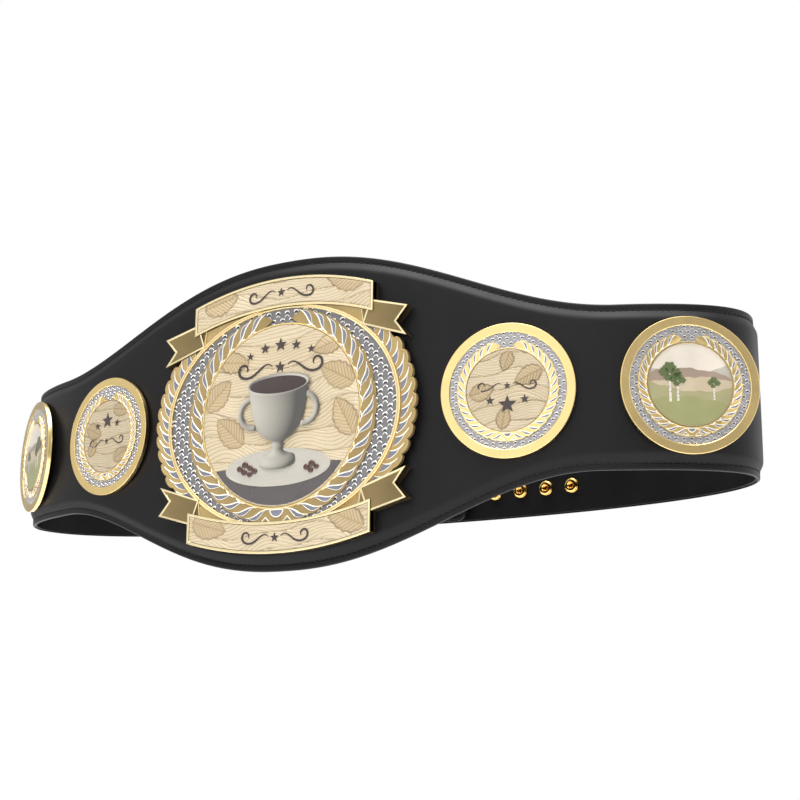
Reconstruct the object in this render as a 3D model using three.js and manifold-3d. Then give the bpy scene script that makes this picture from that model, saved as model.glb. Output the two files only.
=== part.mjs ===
import * as THREE from 'three';
import { mergeVertices } from 'three/addons/utils/BufferGeometryUtils.js';
import Module from 'manifold-3d';

// A championship title belt, fastened as it is worn: a padded leather strap in a closed
// waist loop, a cast centre plate with two ribbon banners, four round side plates and a
// row of snaps at the back. Millimetres, +Z up, the front faces -Y and +X is to the right
// as the belt is looked at. The origin is the middle of the loop at half the strap's height.

const wasm = await Module();
wasm.setup();

// Fits
const seatGap = 0.3;
const holeGap = 0.35;
const holeOverrun = 1;

// Waist loop seen from above, along the strap's outer edge
const loopHalfWidth = 302.9;
const loopFrontDepth = 94.8;
const loopBackDepth = 104.8;
const frontFullness = 2.05;
const backFullness = 2.16;
const loopSamples = 1440;

// Strap height and walls: heights of the two edges over and under the middle line
const centerHalfHeight = 110.5;
const topSideHeight = 55.2;
const bottomSideHeight = 53.8;
const topFlareReach = 236;
const bottomFlareReach = 222.6;
const flareEase = 1.15;
const leatherThickness = 1.9;
const liningThickness = 1;
const liningInset = 0.8;
const edgeBevel = 0.9;
const flangeWidth = 5;
const shoulderWidth = 6.5;
const shoulderShare = 0.4;
const shoulderRiseShare = 0.72;
const paddingRise = 2.4;
const flatRise = 0.4;
const crownRise = 0.2;
const paddingFade = 70;
const cornerRadius = 8;
const cornerSteps = 3;
const bodySteps = 42;

// Closure: sockets on the outer end, studs on the end that is tucked inside
const snapPitch = 22.7;
const socketColumns = 8;
const studColumns = 3;
const firstEngagedColumn = 5;
const firstSocketFromBack = 138;
const snapRowHeight = 33.4;
const endMargin = 22.3;
const tuckLead = 12;
const tuckLength = 75;
const tuckSteps = 4;

// Snap parts
const snapSides = 8;
const capRadius = 6.2;
const capRise = 1.8;
const capShoulderShare = 0.62;
const capShoulderRise = 0.78;
const rivetRadius = 2;
const socketRadius = 5.4;
const socketHeight = 3.4;
const socketEdge = 1;
const socketBore = 2.5;
const socketBoreDepth = 2.4;
const studRadius = 1.9;
const studNeck = 1.5;
const studHeight = 2.4;
const studFlangeRadius = 4.2;
const studFlangeHeight = 0.5;
const studCapRadius = 5;
const studCapRise = 1.2;

// Plate screws
const screwRadius = 2.4;
const screwHeadRadius = 5.5;
const screwHeadHeight = 1.3;
const centerScrewHeight = 52;

// Side plates
const innerPlateArc = 166.2;
const outerPlateArc = 280.8;
const sidePlateRadius = 45;
const sidePlateThickness = 3.3;
const sidePlateSides = 28;
const sidePlateEdge = 0.5;
const sideRimWidth = 6;
const sideRecessDepth = 0.9;
const sideScaleBand = 5;
const sideWreathWidth = 6.3;
const sideWreathRise = 0.9;
const sideWreathOpening = 15;
const sideWreathLeaves = 9;
const sideLeafNotch = 1.3;
const sideMedallionRise = 0.8;

// Centre plate
const centerDrop = 3;
const plateHalfWidth = 107.5;
const plateHalfHeight = 91;
const plateThickness = 3.3;
const laurelWidth = 11.6;
const laurelHeight = 12;
const laurelLeaves = 9;
const laurelReach = 46;
const laurelNotch = 3;
const ringWidth = 2.8;
const ringRise = 1.2;
const ringSides = 36;
const fieldDepth = 0.8;
const wreathHalfWidth = 78;
const wreathRise = 1.4;
const wreathOpening = 13;
const wreathLeaves = 12;
const wreathNotch = 2.6;
const leafBelly = 0.7;
const stemStepsPerLeaf = 4 / 3;
const stemTipShare = 0.25;
const medallionRadius = 64.2;
const medallionThickness = 1.3;
const medallionSides = 40;

// Ribbon banners: heights are from the middle of the plate
const topBanner = { up: 1, crest: 95.6, arch: 12.8, height: 21.2, halfWidth: 74.6 };
const bottomBanner = { up: -1, crest: 99.2, arch: 10.6, height: 21.8, halfWidth: 74.6 };
const bannerRise = 2.4;
const bannerRim = 1.8;
const bannerRecess = 0.9;
const bannerSteps = 8;
const tailLength = 26;
const tailWidth = 20.8;
const tailSetback = 0.8;
const tailRim = 1.7;
const tailRecess = 0.4;
const foldSetback = 1.4;

// Ribbon tail, from the banner's inner corner: shares of the tail's length and width
const tailOutline = [
  { along: -0.1, across: 0.42 },
  { along: 1.02, across: 0.04 },
  { along: 0.68, across: -0.45 },
  { along: 1, across: -0.96 },
  { along: -0.34, across: -0.41 },
];
const foldOutline = [
  { along: 0.08, across: 0.1 },
  { along: -0.3, across: -0.5 },
  { along: -0.37, across: 0.05 },
  { along: -0.37, across: 0.3 },
];

// Trophy on the medallion, standing on a round dish
const trophyHeight = 58;
const trophyRadius = 24;
const trophyDepth = 2.2;
const trophyDrop = 8;
const trophySides = 12;
const handleRadius = 12;
const handleWire = 2.2;
const handleSides = 6;
const handleSteps = 6;
const handleSweep = 198;
const handleSquash = 0.5;
const handleHeightShare = 0.66;
const handleInsetShare = 0.85;
const dishHalfWidth = 42;
const dishHalfHeight = 11;
const dishRise = 1.2;
const dishSides = 24;
// Shares of the trophy's height and of its bowl's radius, from the foot up
const trophyOutline = [
  { radius: 0.6, height: 0 },
  { radius: 0.6, height: 0.08 },
  { radius: 0.22, height: 0.14 },
  { radius: 0.16, height: 0.27 },
  { radius: 0.56, height: 0.38 },
  { radius: 0.86, height: 0.58 },
  { radius: 1, height: 0.94 },
  { radius: 1.06, height: 1 },
];

const finishes = {
  leather: { color: 0x2e2c2e, roughness: 0.45, metalness: 0 },
  lining: { color: 0x1b1a1c, roughness: 0.6, metalness: 0 },
  gold: { color: 0xe3c277, roughness: 0.22, metalness: 1 },
  mattGold: { color: 0xa58e5d, roughness: 0.4, metalness: 1 },
  silver: { color: 0x9a9ca4, roughness: 0.35, metalness: 1 },
  relief: { color: 0xdcc896, roughness: 0.45, metalness: 0.2 },
  cream: { color: 0xe8e2d0, roughness: 0.35, metalness: 0 },
};

const belt = new THREE.Group();

function addMesh(parent, name, geometry, finish) {
  const mesh = new THREE.Mesh(geometry, new THREE.MeshStandardMaterial(finishes[finish]));
  mesh.name = name;
  parent.add(mesh);
  return mesh;
}

function smoothStep(share) {
  const x = THREE.MathUtils.clamp(share, 0, 1);
  return x * x * (3 - 2 * x);
}

// Booleans
function toSolid(geometry) {
  const bare = geometry.clone();
  bare.deleteAttribute('normal');
  bare.deleteAttribute('uv');
  const merged = mergeVertices(bare);
  const corners = merged.index.array;
  const kept = [];
  for (let i = 0; i < corners.length; i += 3) {
    const [a, b, c] = [corners[i], corners[i + 1], corners[i + 2]];
    if (a !== b && b !== c && c !== a) {
      kept.push(a, b, c);
    }
  }
  return new wasm.Manifold(new wasm.Mesh({
    numProp: 3,
    vertProperties: merged.attributes.position.array,
    triVerts: new Uint32Array(kept),
  }));
}

function toGeometry(solid) {
  const mesh = solid.getMesh();
  const geometry = new THREE.BufferGeometry();
  geometry.setAttribute('position', new THREE.BufferAttribute(mesh.vertProperties, mesh.numProp));
  geometry.setIndex(new THREE.BufferAttribute(mesh.triVerts, 1));
  return geometry;
}

function cutAll(geometry, cutters) {
  let solid = toSolid(geometry);
  for (const cutter of cutters) {
    solid = solid.subtract(toSolid(cutter));
  }
  return toGeometry(solid);
}

// Flat plates lie in their frame's XY plane, with the front towards +Z
function slab(points, from, to, holes = []) {
  const shape = new THREE.Shape(points);
  shape.holes = holes.map((hole) => new THREE.Path(hole));
  const geometry = new THREE.ExtrudeGeometry(shape, { depth: to - from, bevelEnabled: false });
  return geometry.translate(0, 0, from);
}

function turned(profile, sides) {
  const points = profile.map(([radius, level]) => new THREE.Vector2(radius, level));
  return new THREE.LatheGeometry(points, sides).rotateX(Math.PI / 2);
}

function ellipsePoint(halfWidth, halfHeight, angle) {
  return new THREE.Vector2(halfWidth * Math.cos(angle), halfHeight * Math.sin(angle));
}

function ellipseArc(halfWidth, halfHeight, from, to, steps) {
  const points = [];
  for (let i = 0; i <= steps; i += 1) {
    points.push(ellipsePoint(halfWidth, halfHeight, from + (i / steps) * (to - from)));
  }
  return points;
}

function ellipse(halfWidth, halfHeight, sides) {
  return ellipseArc(halfWidth, halfHeight, 0, 2 * Math.PI, sides).slice(0, -1);
}

function mirrored(points) {
  return points.map((point) => new THREE.Vector2(-point.x, point.y)).reverse();
}

function lowered(points, drop) {
  return points.map((point) => new THREE.Vector2(point.x, point.y - drop));
}

// Waist loop: angle 0 is the middle of the front, and the arc length grows towards +X
function loopPoint(angle) {
  const side = Math.sin(angle);
  const front = Math.cos(angle);
  const fullness = front >= 0 ? frontFullness : backFullness;
  const depth = front >= 0 ? loopFrontDepth : loopBackDepth;
  return new THREE.Vector2(
    loopHalfWidth * Math.sign(side) * Math.abs(side) ** (2 / fullness),
    -depth * Math.sign(front) * Math.abs(front) ** (2 / fullness),
  );
}

const loopTable = [];
for (let i = 0; i <= loopSamples; i += 1) {
  const point = loopPoint((i / loopSamples) * 2 * Math.PI);
  const last = loopTable[i - 1];
  const arc = last ? last.arc + point.distanceTo(last.point) : 0;
  loopTable.push({ point, arc });
}
const loopLength = loopTable[loopSamples].arc;
const backArc = loopLength / 2;

function sampleAtArc(arc) {
  const wrapped = THREE.MathUtils.euclideanModulo(arc, loopLength);
  let low = 0;
  let high = loopSamples;
  while (high - low > 1) {
    const middle = Math.floor((low + high) / 2);
    if (loopTable[middle].arc <= wrapped) {
      low = middle;
    } else {
      high = middle;
    }
  }
  const step = loopTable[high].arc - loopTable[low].arc;
  return low + (wrapped - loopTable[low].arc) / step;
}

function loopAtArc(arc) {
  const sample = sampleAtArc(arc);
  const low = Math.floor(sample);
  const at = (i) => loopTable[THREE.MathUtils.euclideanModulo(i, loopSamples)].point;
  const point = at(low).clone().lerp(at(low + 1), sample - low);
  const along = at(low + 2).clone().sub(at(low - 1)).normalize();
  return { point, along, outward: new THREE.Vector2(along.y, -along.x) };
}

function arcAtAngle(angle) {
  const turns = Math.floor(angle / (2 * Math.PI));
  const sample = ((angle / (2 * Math.PI)) - turns) * loopSamples;
  const low = Math.floor(sample);
  const high = Math.min(low + 1, loopSamples);
  const share = sample - low;
  const arc = loopTable[low].arc * (1 - share) + loopTable[high].arc * share;
  return turns * loopLength + arc;
}

// Places in the closure are distances from the middle of the back, positive towards +X
const outerEndAt = (fromBack) => backArc - fromBack;
const innerEndAt = (fromBack) => -backArc - fromBack;
const columnFromBack = (column) => firstSocketFromBack - column * snapPitch;
const outerEnd = columnFromBack(socketColumns - 1) - endMargin;
const innerEnd = columnFromBack(firstEngagedColumn) + endMargin;
const closureStart = columnFromBack(0) + snapPitch / 2;
const tuckFull = outerEnd - tuckLead;
const tuckStart = tuckFull - tuckLength;

const wallThickness = leatherThickness + seatGap + liningThickness;
const snapStack = 3 * seatGap + socketHeight + studFlangeHeight;
const tuckDepth = wallThickness + snapStack + flatRise + crownRise;

function edgeHeightAt(arc, sideHeight, flareReach) {
  const share = Math.min(Math.abs(arc) / flareReach, 1) ** flareEase;
  const flare = (1 + Math.cos(Math.PI * share)) / 2;
  const full = sideHeight + (centerHalfHeight - sideHeight) * flare;
  const toEnd = Math.min(outerEndAt(outerEnd) - arc, arc - innerEndAt(innerEnd));
  const intoCorner = Math.max(cornerRadius - toEnd, 0);
  return full - cornerRadius + Math.sqrt(cornerRadius ** 2 - intoCorner ** 2);
}

function insetAt(arc) {
  if (arc > 0) {
    return 0;
  }
  const fromBack = -backArc - arc;
  return tuckDepth * smoothStep((fromBack - tuckStart) / tuckLength);
}

function riseAt(arc) {
  const outerRoom = backArc - arc - closureStart;
  const innerRoom = arc + backArc + tuckStart;
  const share = Math.min(outerRoom, innerRoom) / paddingFade;
  return flatRise + (paddingRise - flatRise) * smoothStep(share);
}

function stationArcs() {
  const arcs = [];
  for (let i = 0; i < cornerSteps; i += 1) {
    const intoEnd = cornerRadius * (1 - Math.cos((i / (cornerSteps - 1)) * (Math.PI / 2)));
    arcs.push(innerEndAt(innerEnd - intoEnd), outerEndAt(outerEnd + intoEnd));
  }
  for (let i = 0; i <= studColumns; i += 1) {
    arcs.push(innerEndAt(columnFromBack(firstEngagedColumn + i) + snapPitch / 2));
  }
  for (let i = 0; i < tuckSteps; i += 1) {
    arcs.push(innerEndAt(tuckFull - (i / tuckSteps) * tuckLength));
  }
  for (let i = 1; i <= socketColumns; i += 1) {
    arcs.push(outerEndAt(columnFromBack(i) + snapPitch / 2));
  }
  const angleAt = (arc) => (sampleAtArc(arc) / loopSamples) * 2 * Math.PI;
  const startAngle = angleAt(innerEndAt(tuckStart)) - 2 * Math.PI;
  const endAngle = angleAt(outerEndAt(closureStart));
  for (let i = 0; i <= bodySteps; i += 1) {
    arcs.push(arcAtAngle(THREE.MathUtils.lerp(startAngle, endAngle, i / bodySteps)));
  }
  return arcs.sort((a, b) => a - b);
}

const stations = stationArcs().map((arc) => ({
  arc,
  ...loopAtArc(arc),
  inset: insetAt(arc),
  rise: riseAt(arc),
  top: edgeHeightAt(arc, topSideHeight, topFlareReach),
  bottom: -edgeHeightAt(arc, bottomSideHeight, bottomFlareReach),
}));

function stationPoint(station, level, height) {
  const place = station.outward.clone().multiplyScalar(level - station.inset).add(station.point);
  return new THREE.Vector3(place.x, place.y, height);
}

// Loft through the stations, with the two end sections closed by the given triangles
function loft(sectionOf, endTriangles) {
  const sections = stations.map(sectionOf);
  const count = sections[0].length;
  const last = (sections.length - 1) * count;
  const index = [];
  for (let i = 0; i + 1 < sections.length; i += 1) {
    for (let j = 0; j < count; j += 1) {
      const a = i * count + j;
      const b = i * count + ((j + 1) % count);
      index.push(a, b, a + count, b, b + count, a + count);
    }
  }
  for (const [a, b, c] of endTriangles(count)) {
    index.push(a, c, b, last + a, last + b, last + c);
  }
  const geometry = new THREE.BufferGeometry();
  const positions = sections.flat().flatMap((point) => point.toArray());
  geometry.setAttribute('position', new THREE.Float32BufferAttribute(positions, 3));
  geometry.setIndex(index);
  return geometry;
}

// Triangles of a padded end: a fan from the foot up to the crown, then one from the crown down
function paddedEnd(count) {
  const crown = (count + 1) / 2;
  const triangles = [];
  for (let j = 1; j < crown; j += 1) {
    triangles.push([0, j, j + 1]);
  }
  for (let j = crown + 1; j < count; j += 1) {
    triangles.push([crown, j, (j + 1) % count]);
  }
  return triangles;
}

function flatEnd() {
  return [[0, 1, 2], [0, 2, 3]];
}

function strapSection({ rise, top, bottom, ...station }) {
  const front = [
    [0, edgeBevel],
    [0, flangeWidth],
    [rise * shoulderRiseShare, flangeWidth + shoulderWidth * shoulderShare],
    [rise, flangeWidth + shoulderWidth],
  ];
  const outline = [
    [-leatherThickness, bottom],
    [-leatherThickness, top],
    ...front.map(([level, inset]) => [level, top - inset]),
    [rise + crownRise, (top + bottom) / 2],
    ...front.map(([level, inset]) => [level, bottom + inset]).reverse(),
  ];
  return outline.map(([level, height]) => stationPoint(station, level, height));
}

function liningSection(station) {
  const top = station.top - liningInset;
  const bottom = station.bottom + liningInset;
  const inner = -wallThickness;
  const outer = inner + liningThickness;
  return [
    stationPoint(station, inner, bottom),
    stationPoint(station, inner, top),
    stationPoint(station, outer, top),
    stationPoint(station, outer, bottom),
  ];
}

// A frame on the strap: X along it, Y up and Z outwards
function frameAt(point, along, height, level) {
  const frame = new THREE.Group();
  const outward = new THREE.Vector2(along.y, -along.x);
  frame.position.set(point.x + outward.x * level, point.y + outward.y * level, height);
  frame.rotation.set(Math.PI / 2, 0, Math.atan2(along.y, along.x), 'ZXY');
  frame.updateMatrixWorld(true);
  return frame;
}

// Lowest and highest level of one line of the strap within reach of a place on the loop
function levelRange(arc, reach, levelOf) {
  const { point, along, outward } = loopAtArc(arc);
  const local = (station) => {
    const place = stationPoint(station, levelOf(station), 0);
    const offset = new THREE.Vector2(place.x, place.y).sub(point);
    return { x: offset.dot(along), level: offset.dot(outward) };
  };
  const levels = [];
  for (let i = 0; i + 1 < stations.length; i += 1) {
    const near = Math.abs(stations[i].arc - arc) < 2 * reach + snapPitch;
    const a = local(stations[i]);
    const b = local(stations[i + 1]);
    if (near && a.x <= reach && b.x >= -reach) {
      for (const x of [Math.max(a.x, -reach), Math.min(b.x, reach)]) {
        levels.push(THREE.MathUtils.mapLinear(x, a.x, b.x, a.level, b.level));
      }
    }
  }
  return { low: Math.min(...levels), high: Math.max(...levels) };
}

const crownLevel = (station) => station.rise + crownRise;
const liningLevel = () => -wallThickness;

// Holes through the strap and its lining, in belt coordinates
const holes = [];

function punchHole(frame, radius, low, high) {
  const from = low - holeOverrun;
  const to = high + holeOverrun;
  const drill = new THREE.CylinderGeometry(radius + holeGap, radius + holeGap, to - from, snapSides);
  drill.rotateX(Math.PI / 2).translate(0, 0, (from + to) / 2);
  holes.push(drill.applyMatrix4(frame.matrixWorld));
}

// Snaps: the frame's origin is on the outer end's edge line, midway between two stations
function snapFrame(column, row) {
  const fromBack = columnFromBack(column);
  const start = loopAtArc(outerEndAt(fromBack + snapPitch / 2)).point;
  const end = loopAtArc(outerEndAt(fromBack - snapPitch / 2)).point;
  const along = end.clone().sub(start).normalize();
  return frameAt(start.lerp(end, 0.5), along, row * snapRowHeight, 0);
}

const capSeat = flatRise + crownRise + seatGap;
const socketSeat = -wallThickness - seatGap;
const socketMouth = socketSeat - socketHeight;
const studSeat = -tuckDepth + flatRise + crownRise + seatGap;
const studCapSeat = -tuckDepth - wallThickness - seatGap;

function addSocket(column, row, name) {
  const frame = snapFrame(column, row);
  addMesh(frame, name, turned([
    [0, socketMouth + socketBoreDepth],
    [socketBore, socketMouth + socketBoreDepth],
    [socketBore, socketMouth],
    [socketRadius - socketEdge, socketMouth],
    [socketRadius, socketMouth + socketEdge],
    [socketRadius, socketSeat],
    [rivetRadius, socketSeat],
    [rivetRadius, capSeat],
    [capRadius, capSeat],
    [capRadius * capShoulderShare, capSeat + capRise * capShoulderRise],
    [0, capSeat + capRise],
  ], snapSides), 'gold');
  punchHole(frame, rivetRadius, -wallThickness, flatRise + crownRise);
  belt.add(frame);
}

function addStud(column, row, name) {
  const frame = snapFrame(column, row);
  const flangeTop = studSeat + studFlangeHeight;
  addMesh(frame, name, turned([
    [0, studCapSeat - studCapRise],
    [studCapRadius * capShoulderShare, studCapSeat - studCapRise * capShoulderRise],
    [studCapRadius, studCapSeat],
    [rivetRadius, studCapSeat],
    [rivetRadius, studSeat],
    [studFlangeRadius, studSeat],
    [studFlangeRadius, flangeTop],
    [studNeck, flangeTop],
    [studRadius, flangeTop + studHeight / 2],
    [studNeck, flangeTop + studHeight - seatGap],
    [0, flangeTop + studHeight - seatGap],
  ], snapSides), 'gold');
  punchHole(frame, rivetRadius, -tuckDepth - wallThickness, -tuckDepth + flatRise + crownRise);
  belt.add(frame);
}

const snapRows = [{ word: 'top', row: 1 }, { word: 'bottom', row: -1 }];
for (const { word, row } of snapRows) {
  for (let column = 0; column < socketColumns; column += 1) {
    addSocket(column, row, `snap_socket_${word}_${column + 1}`);
  }
  for (let column = 0; column < studColumns; column += 1) {
    addStud(firstEngagedColumn + column, row, `snap_stud_${word}_${column + 1}`);
  }
}

// Plates: the frame's origin is the middle of the plate's back, a seat gap off the strap
function plateFrame(arc, reach) {
  const { point, along } = loopAtArc(arc);
  const seat = levelRange(arc, reach, crownLevel).high + seatGap;
  return { frame: frameAt(point, along, 0, seat), seat };
}

function addScrew(plate, arc, height, name) {
  const headSeat = levelRange(arc, screwHeadRadius, liningLevel).low - seatGap - plate.seat;
  const frame = new THREE.Group();
  frame.position.set(0, height, 0);
  plate.frame.add(frame);
  frame.updateMatrixWorld(true);
  addMesh(frame, name, turned([
    [0, headSeat - screwHeadHeight],
    [screwHeadRadius, headSeat - screwHeadHeight],
    [screwHeadRadius, headSeat],
    [screwRadius, headSeat],
    [screwRadius, -seatGap],
    [0, -seatGap],
  ], snapSides), 'gold');
  punchHole(frame, screwRadius, headSeat, 0);
}

// An open wreath: two branches of leaves that rise from the bottom and point up
function wreathOutline({ inner, outerWidth, outerHeight, opening, leaves, notch }) {
  const foot = -Math.PI / 2;
  const tip = Math.PI / 2 - THREE.MathUtils.degToRad(opening);
  const step = (tip - foot) / leaves;
  const branch = [];
  for (let i = 0; i < leaves; i += 1) {
    const start = foot + i * step;
    branch.push(ellipsePoint(outerWidth - notch, outerHeight - notch, start));
    branch.push(ellipsePoint(outerWidth, outerHeight, start + leafBelly * step));
  }
  branch.push(ellipsePoint((outerWidth + inner) / 2, (outerHeight + inner) / 2, tip));
  const stemSteps = Math.round(leaves * stemStepsPerLeaf);
  const stemFrom = tip - step * stemTipShare;
  const stemTo = -Math.PI - stemFrom;
  const chordClear = inner / Math.cos((stemFrom - stemTo) / stemSteps / 2);
  const stem = ellipseArc(chordClear, chordClear, stemFrom, stemTo, stemSteps);
  return [...branch, ...stem, ...mirrored(branch).slice(0, -1)];
}

function addSidePlate(arc, side) {
  const plate = plateFrame(arc, sidePlateRadius);
  const recessRadius = sidePlateRadius - sideRimWidth;
  const floor = sidePlateThickness - sideRecessDepth;
  const wreathRadius = recessRadius - sideScaleBand;
  const wreathInner = wreathRadius - sideWreathWidth;
  const wreath = wreathOutline({
    inner: wreathInner,
    outerWidth: wreathRadius,
    outerHeight: wreathRadius,
    opening: sideWreathOpening,
    leaves: sideWreathLeaves,
    notch: sideLeafNotch,
  });
  const seat = floor + seatGap;
  addMesh(plate.frame, `${side}_plate`, turned([
    [0, 0],
    [sidePlateRadius, 0],
    [sidePlateRadius, sidePlateThickness - sidePlateEdge],
    [sidePlateRadius - sidePlateEdge, sidePlateThickness],
    [recessRadius, sidePlateThickness],
    [recessRadius, floor],
    [0, floor],
  ], sidePlateSides), 'gold');
  addMesh(plate.frame, `${side}_wreath`, slab(wreath, seat, seat + sideWreathRise), 'silver');
  addMesh(plate.frame, `${side}_medallion`, turned([
    [0, seat],
    [wreathInner - holeGap, seat],
    [wreathInner - holeGap, seat + sideMedallionRise],
    [0, seat + sideMedallionRise],
  ], sidePlateSides), 'relief');
  addScrew(plate, arc, 0, `${side}_screw`);
  belt.add(plate.frame);
}

addSidePlate(-outerPlateArc, 'left_outer');
addSidePlate(-innerPlateArc, 'left_inner');
addSidePlate(innerPlateArc, 'right_inner');
addSidePlate(outerPlateArc, 'right_outer');

// Centre plate: an ellipse whose sides are scalloped by upright laurel leaves
function centerOutline(growth) {
  const halfWidth = plateHalfWidth + growth;
  const halfHeight = plateHalfHeight + growth;
  const reach = Math.asin(laurelReach / plateHalfHeight);
  const step = (2 * reach) / laurelLeaves;
  const side = [];
  for (let i = 0; i < laurelLeaves; i += 1) {
    const start = -reach + i * step;
    side.push(ellipsePoint(halfWidth - laurelNotch, halfHeight - laurelNotch, start));
    side.push(ellipsePoint(halfWidth, halfHeight, start + leafBelly * step));
  }
  const over = ellipseArc(
    halfWidth - laurelNotch,
    halfHeight - laurelNotch,
    reach,
    Math.PI - reach,
    bannerSteps,
  );
  const left = mirrored(side).slice(0, -1);
  const under = over.map((point) => new THREE.Vector2(point.x, -point.y)).reverse().slice(0, -1);
  return lowered([...side, ...over, ...left, ...under], centerDrop);
}

const ringHalfWidth = plateHalfWidth - laurelWidth;
const ringHalfHeight = plateHalfHeight - laurelHeight;
const fieldFloor = plateThickness - fieldDepth;
const fieldSeat = fieldFloor + seatGap;
const ringTop = plateThickness + ringRise;

function centerEllipse(halfWidth, halfHeight, sides) {
  return lowered(ellipse(halfWidth, halfHeight, sides), centerDrop);
}

function centerPlate() {
  const field = centerEllipse(ringHalfWidth + seatGap, ringHalfHeight + seatGap, ringSides);
  const plate = slab(centerOutline(0), 0, plateThickness);
  return cutAll(plate, [slab(field, fieldFloor, plateThickness + holeOverrun)]);
}

function centerRing() {
  const outer = centerEllipse(ringHalfWidth, ringHalfHeight, ringSides);
  const inner = centerEllipse(ringHalfWidth - ringWidth, ringHalfHeight - ringWidth, ringSides);
  return slab(outer, fieldSeat, ringTop, [inner]);
}

function centerWreath() {
  const outline = wreathOutline({
    inner: medallionRadius + seatGap,
    outerWidth: wreathHalfWidth,
    outerHeight: ringHalfHeight - ringWidth - seatGap,
    opening: wreathOpening,
    leaves: wreathLeaves,
    notch: wreathNotch,
  });
  return slab(lowered(outline, centerDrop), fieldSeat, fieldSeat + wreathRise);
}

function centerMedallion() {
  const disc = centerEllipse(medallionRadius, medallionRadius, medallionSides);
  return slab(disc, fieldSeat, fieldSeat + medallionThickness);
}

// Trophy in low relief: a turned cup with two handles, flattened, front half only
function trophyHandle(side) {
  const sweep = THREE.MathUtils.degToRad(handleSweep);
  const points = [];
  for (let i = 0; i <= handleSteps; i += 1) {
    const turn = sweep * (0.5 - i / handleSteps);
    points.push(new THREE.Vector3(
      side * (trophyRadius * handleInsetShare + handleRadius * Math.cos(turn)),
      trophyHeight * handleHeightShare + handleRadius * Math.sin(turn),
      0,
    ));
  }
  const wire = new THREE.Shape(ellipse(handleWire, handleWire, handleSides));
  const extrudePath = new THREE.CatmullRomCurve3(points);
  const handle = new THREE.ExtrudeGeometry(wire, { steps: handleSteps, extrudePath });
  return handle.scale(1, 1, handleSquash);
}

function trophyRelief() {
  const outline = trophyOutline.map((row) => [row.radius * trophyRadius, row.height * trophyHeight]);
  const points = [[0, 0], ...outline, [0, trophyHeight]];
  const cup = new THREE.LatheGeometry(points.map(([x, y]) => new THREE.Vector2(x, y)), trophySides);
  cup.scale(1, 1, trophyDepth / trophyRadius);
  const span = trophyHeight + dishHalfWidth;
  const front = slab(ellipse(span, span, dishSides), 0, trophyDepth + holeOverrun);
  let relief = toSolid(cup).intersect(toSolid(front));
  for (const side of [-1, 1]) {
    relief = relief.add(toSolid(trophyHandle(side)).intersect(toSolid(front)));
  }
  relief = relief.add(toSolid(slab(ellipse(dishHalfWidth, dishHalfHeight, dishSides), 0, dishRise)));
  const seat = fieldSeat + medallionThickness + seatGap;
  return toGeometry(relief).translate(0, -trophyHeight / 2 - trophyDrop, seat);
}

// Banners: a bowed bar with a rim, and on each side a tail that folds away behind it
function bowedBar(banner, inset) {
  const halfWidth = banner.halfWidth - inset;
  const bow = (x) => banner.arch * (x / banner.halfWidth) ** 2;
  const crest = [];
  const base = [];
  for (let i = 0; i <= bannerSteps; i += 1) {
    const x = halfWidth * ((2 * i) / bannerSteps - 1);
    crest.push([x, banner.crest - inset - bow(x)]);
    base.push([x, banner.crest - banner.height + inset - bow(x)]);
  }
  return [...base, ...crest.reverse()].map(([x, y]) => new THREE.Vector2(x, banner.up * y));
}

function tailPoints(banner, outline, side) {
  const corner = banner.crest - banner.height - banner.arch;
  return outline.map(({ along, across }) => new THREE.Vector2(
    side * (banner.halfWidth + along * tailLength),
    banner.up * (corner + across * tailWidth),
  ));
}

// Polygon with each edge moved inwards by the same distance
function insetPolygon(points, distance) {
  const turn = Math.sign(THREE.ShapeUtils.area(points));
  const count = points.length;
  const edges = points.map((point, i) => {
    const along = points[(i + 1) % count].clone().sub(point).normalize();
    const inward = new THREE.Vector2(-along.y, along.x).multiplyScalar(turn * distance);
    return { start: point.clone().add(inward), along };
  });
  return edges.map((edge, i) => {
    const before = edges[(i + count - 1) % count];
    const between = edge.start.clone().sub(before.start);
    const share = between.cross(edge.along) / before.along.cross(edge.along);
    return before.start.clone().addScaledVector(before.along, share);
  });
}

const bannerTop = plateThickness + bannerRise;
const tailTop = bannerTop - tailSetback;
const foldTop = bannerTop - foldSetback;

// Level just off the strap's face, over the plate's back, within a reach of the middle
function strapLevel(plate, reach) {
  return levelRange(0, reach, crownLevel).low + 2 * seatGap - plate.seat;
}

// A banner's ends and tails reach down past the plate's edge, to just off the strap
function bannerSolid(banner, plate) {
  const over = bannerTop + holeOverrun;
  const bar = bowedBar(banner, 0);
  const left = [...bar.slice(0, 2), ...bar.slice(-2)];
  const right = bar.slice(bannerSteps - 1, bannerSteps + 3);
  const endBase = strapLevel(plate, banner.halfWidth * (1 - 2 / bannerSteps));
  const tailBase = strapLevel(plate, banner.halfWidth);
  let solid = toSolid(slab(bar, 0, bannerTop));
  for (const [side, end] of [[-1, left], [1, right]]) {
    solid = solid.add(toSolid(slab(end, endBase, bannerTop)));
    const tail = tailPoints(banner, tailOutline, side);
    const recess = slab(insetPolygon(tail, tailRim), tailTop - tailRecess, over);
    solid = solid.add(toSolid(slab(tail, tailBase, tailTop)).subtract(toSolid(recess)));
    solid = solid.add(toSolid(slab(tailPoints(banner, foldOutline, side), 0, foldTop)));
  }
  const ring = centerEllipse(ringHalfWidth + seatGap, ringHalfHeight + seatGap, ringSides);
  for (const cutter of [
    slab(bowedBar(banner, bannerRim), bannerTop - bannerRecess, over),
    slab(centerOutline(seatGap), tailBase - holeOverrun, plateThickness + seatGap),
    slab(ring, -holeOverrun, ringTop + seatGap),
  ]) {
    solid = solid.subtract(toSolid(cutter));
  }
  return toGeometry(solid);
}

function bannerPanel(banner) {
  const seat = bannerTop - bannerRecess + seatGap;
  return slab(bowedBar(banner, bannerRim + holeGap), seat, bannerTop);
}

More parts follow.
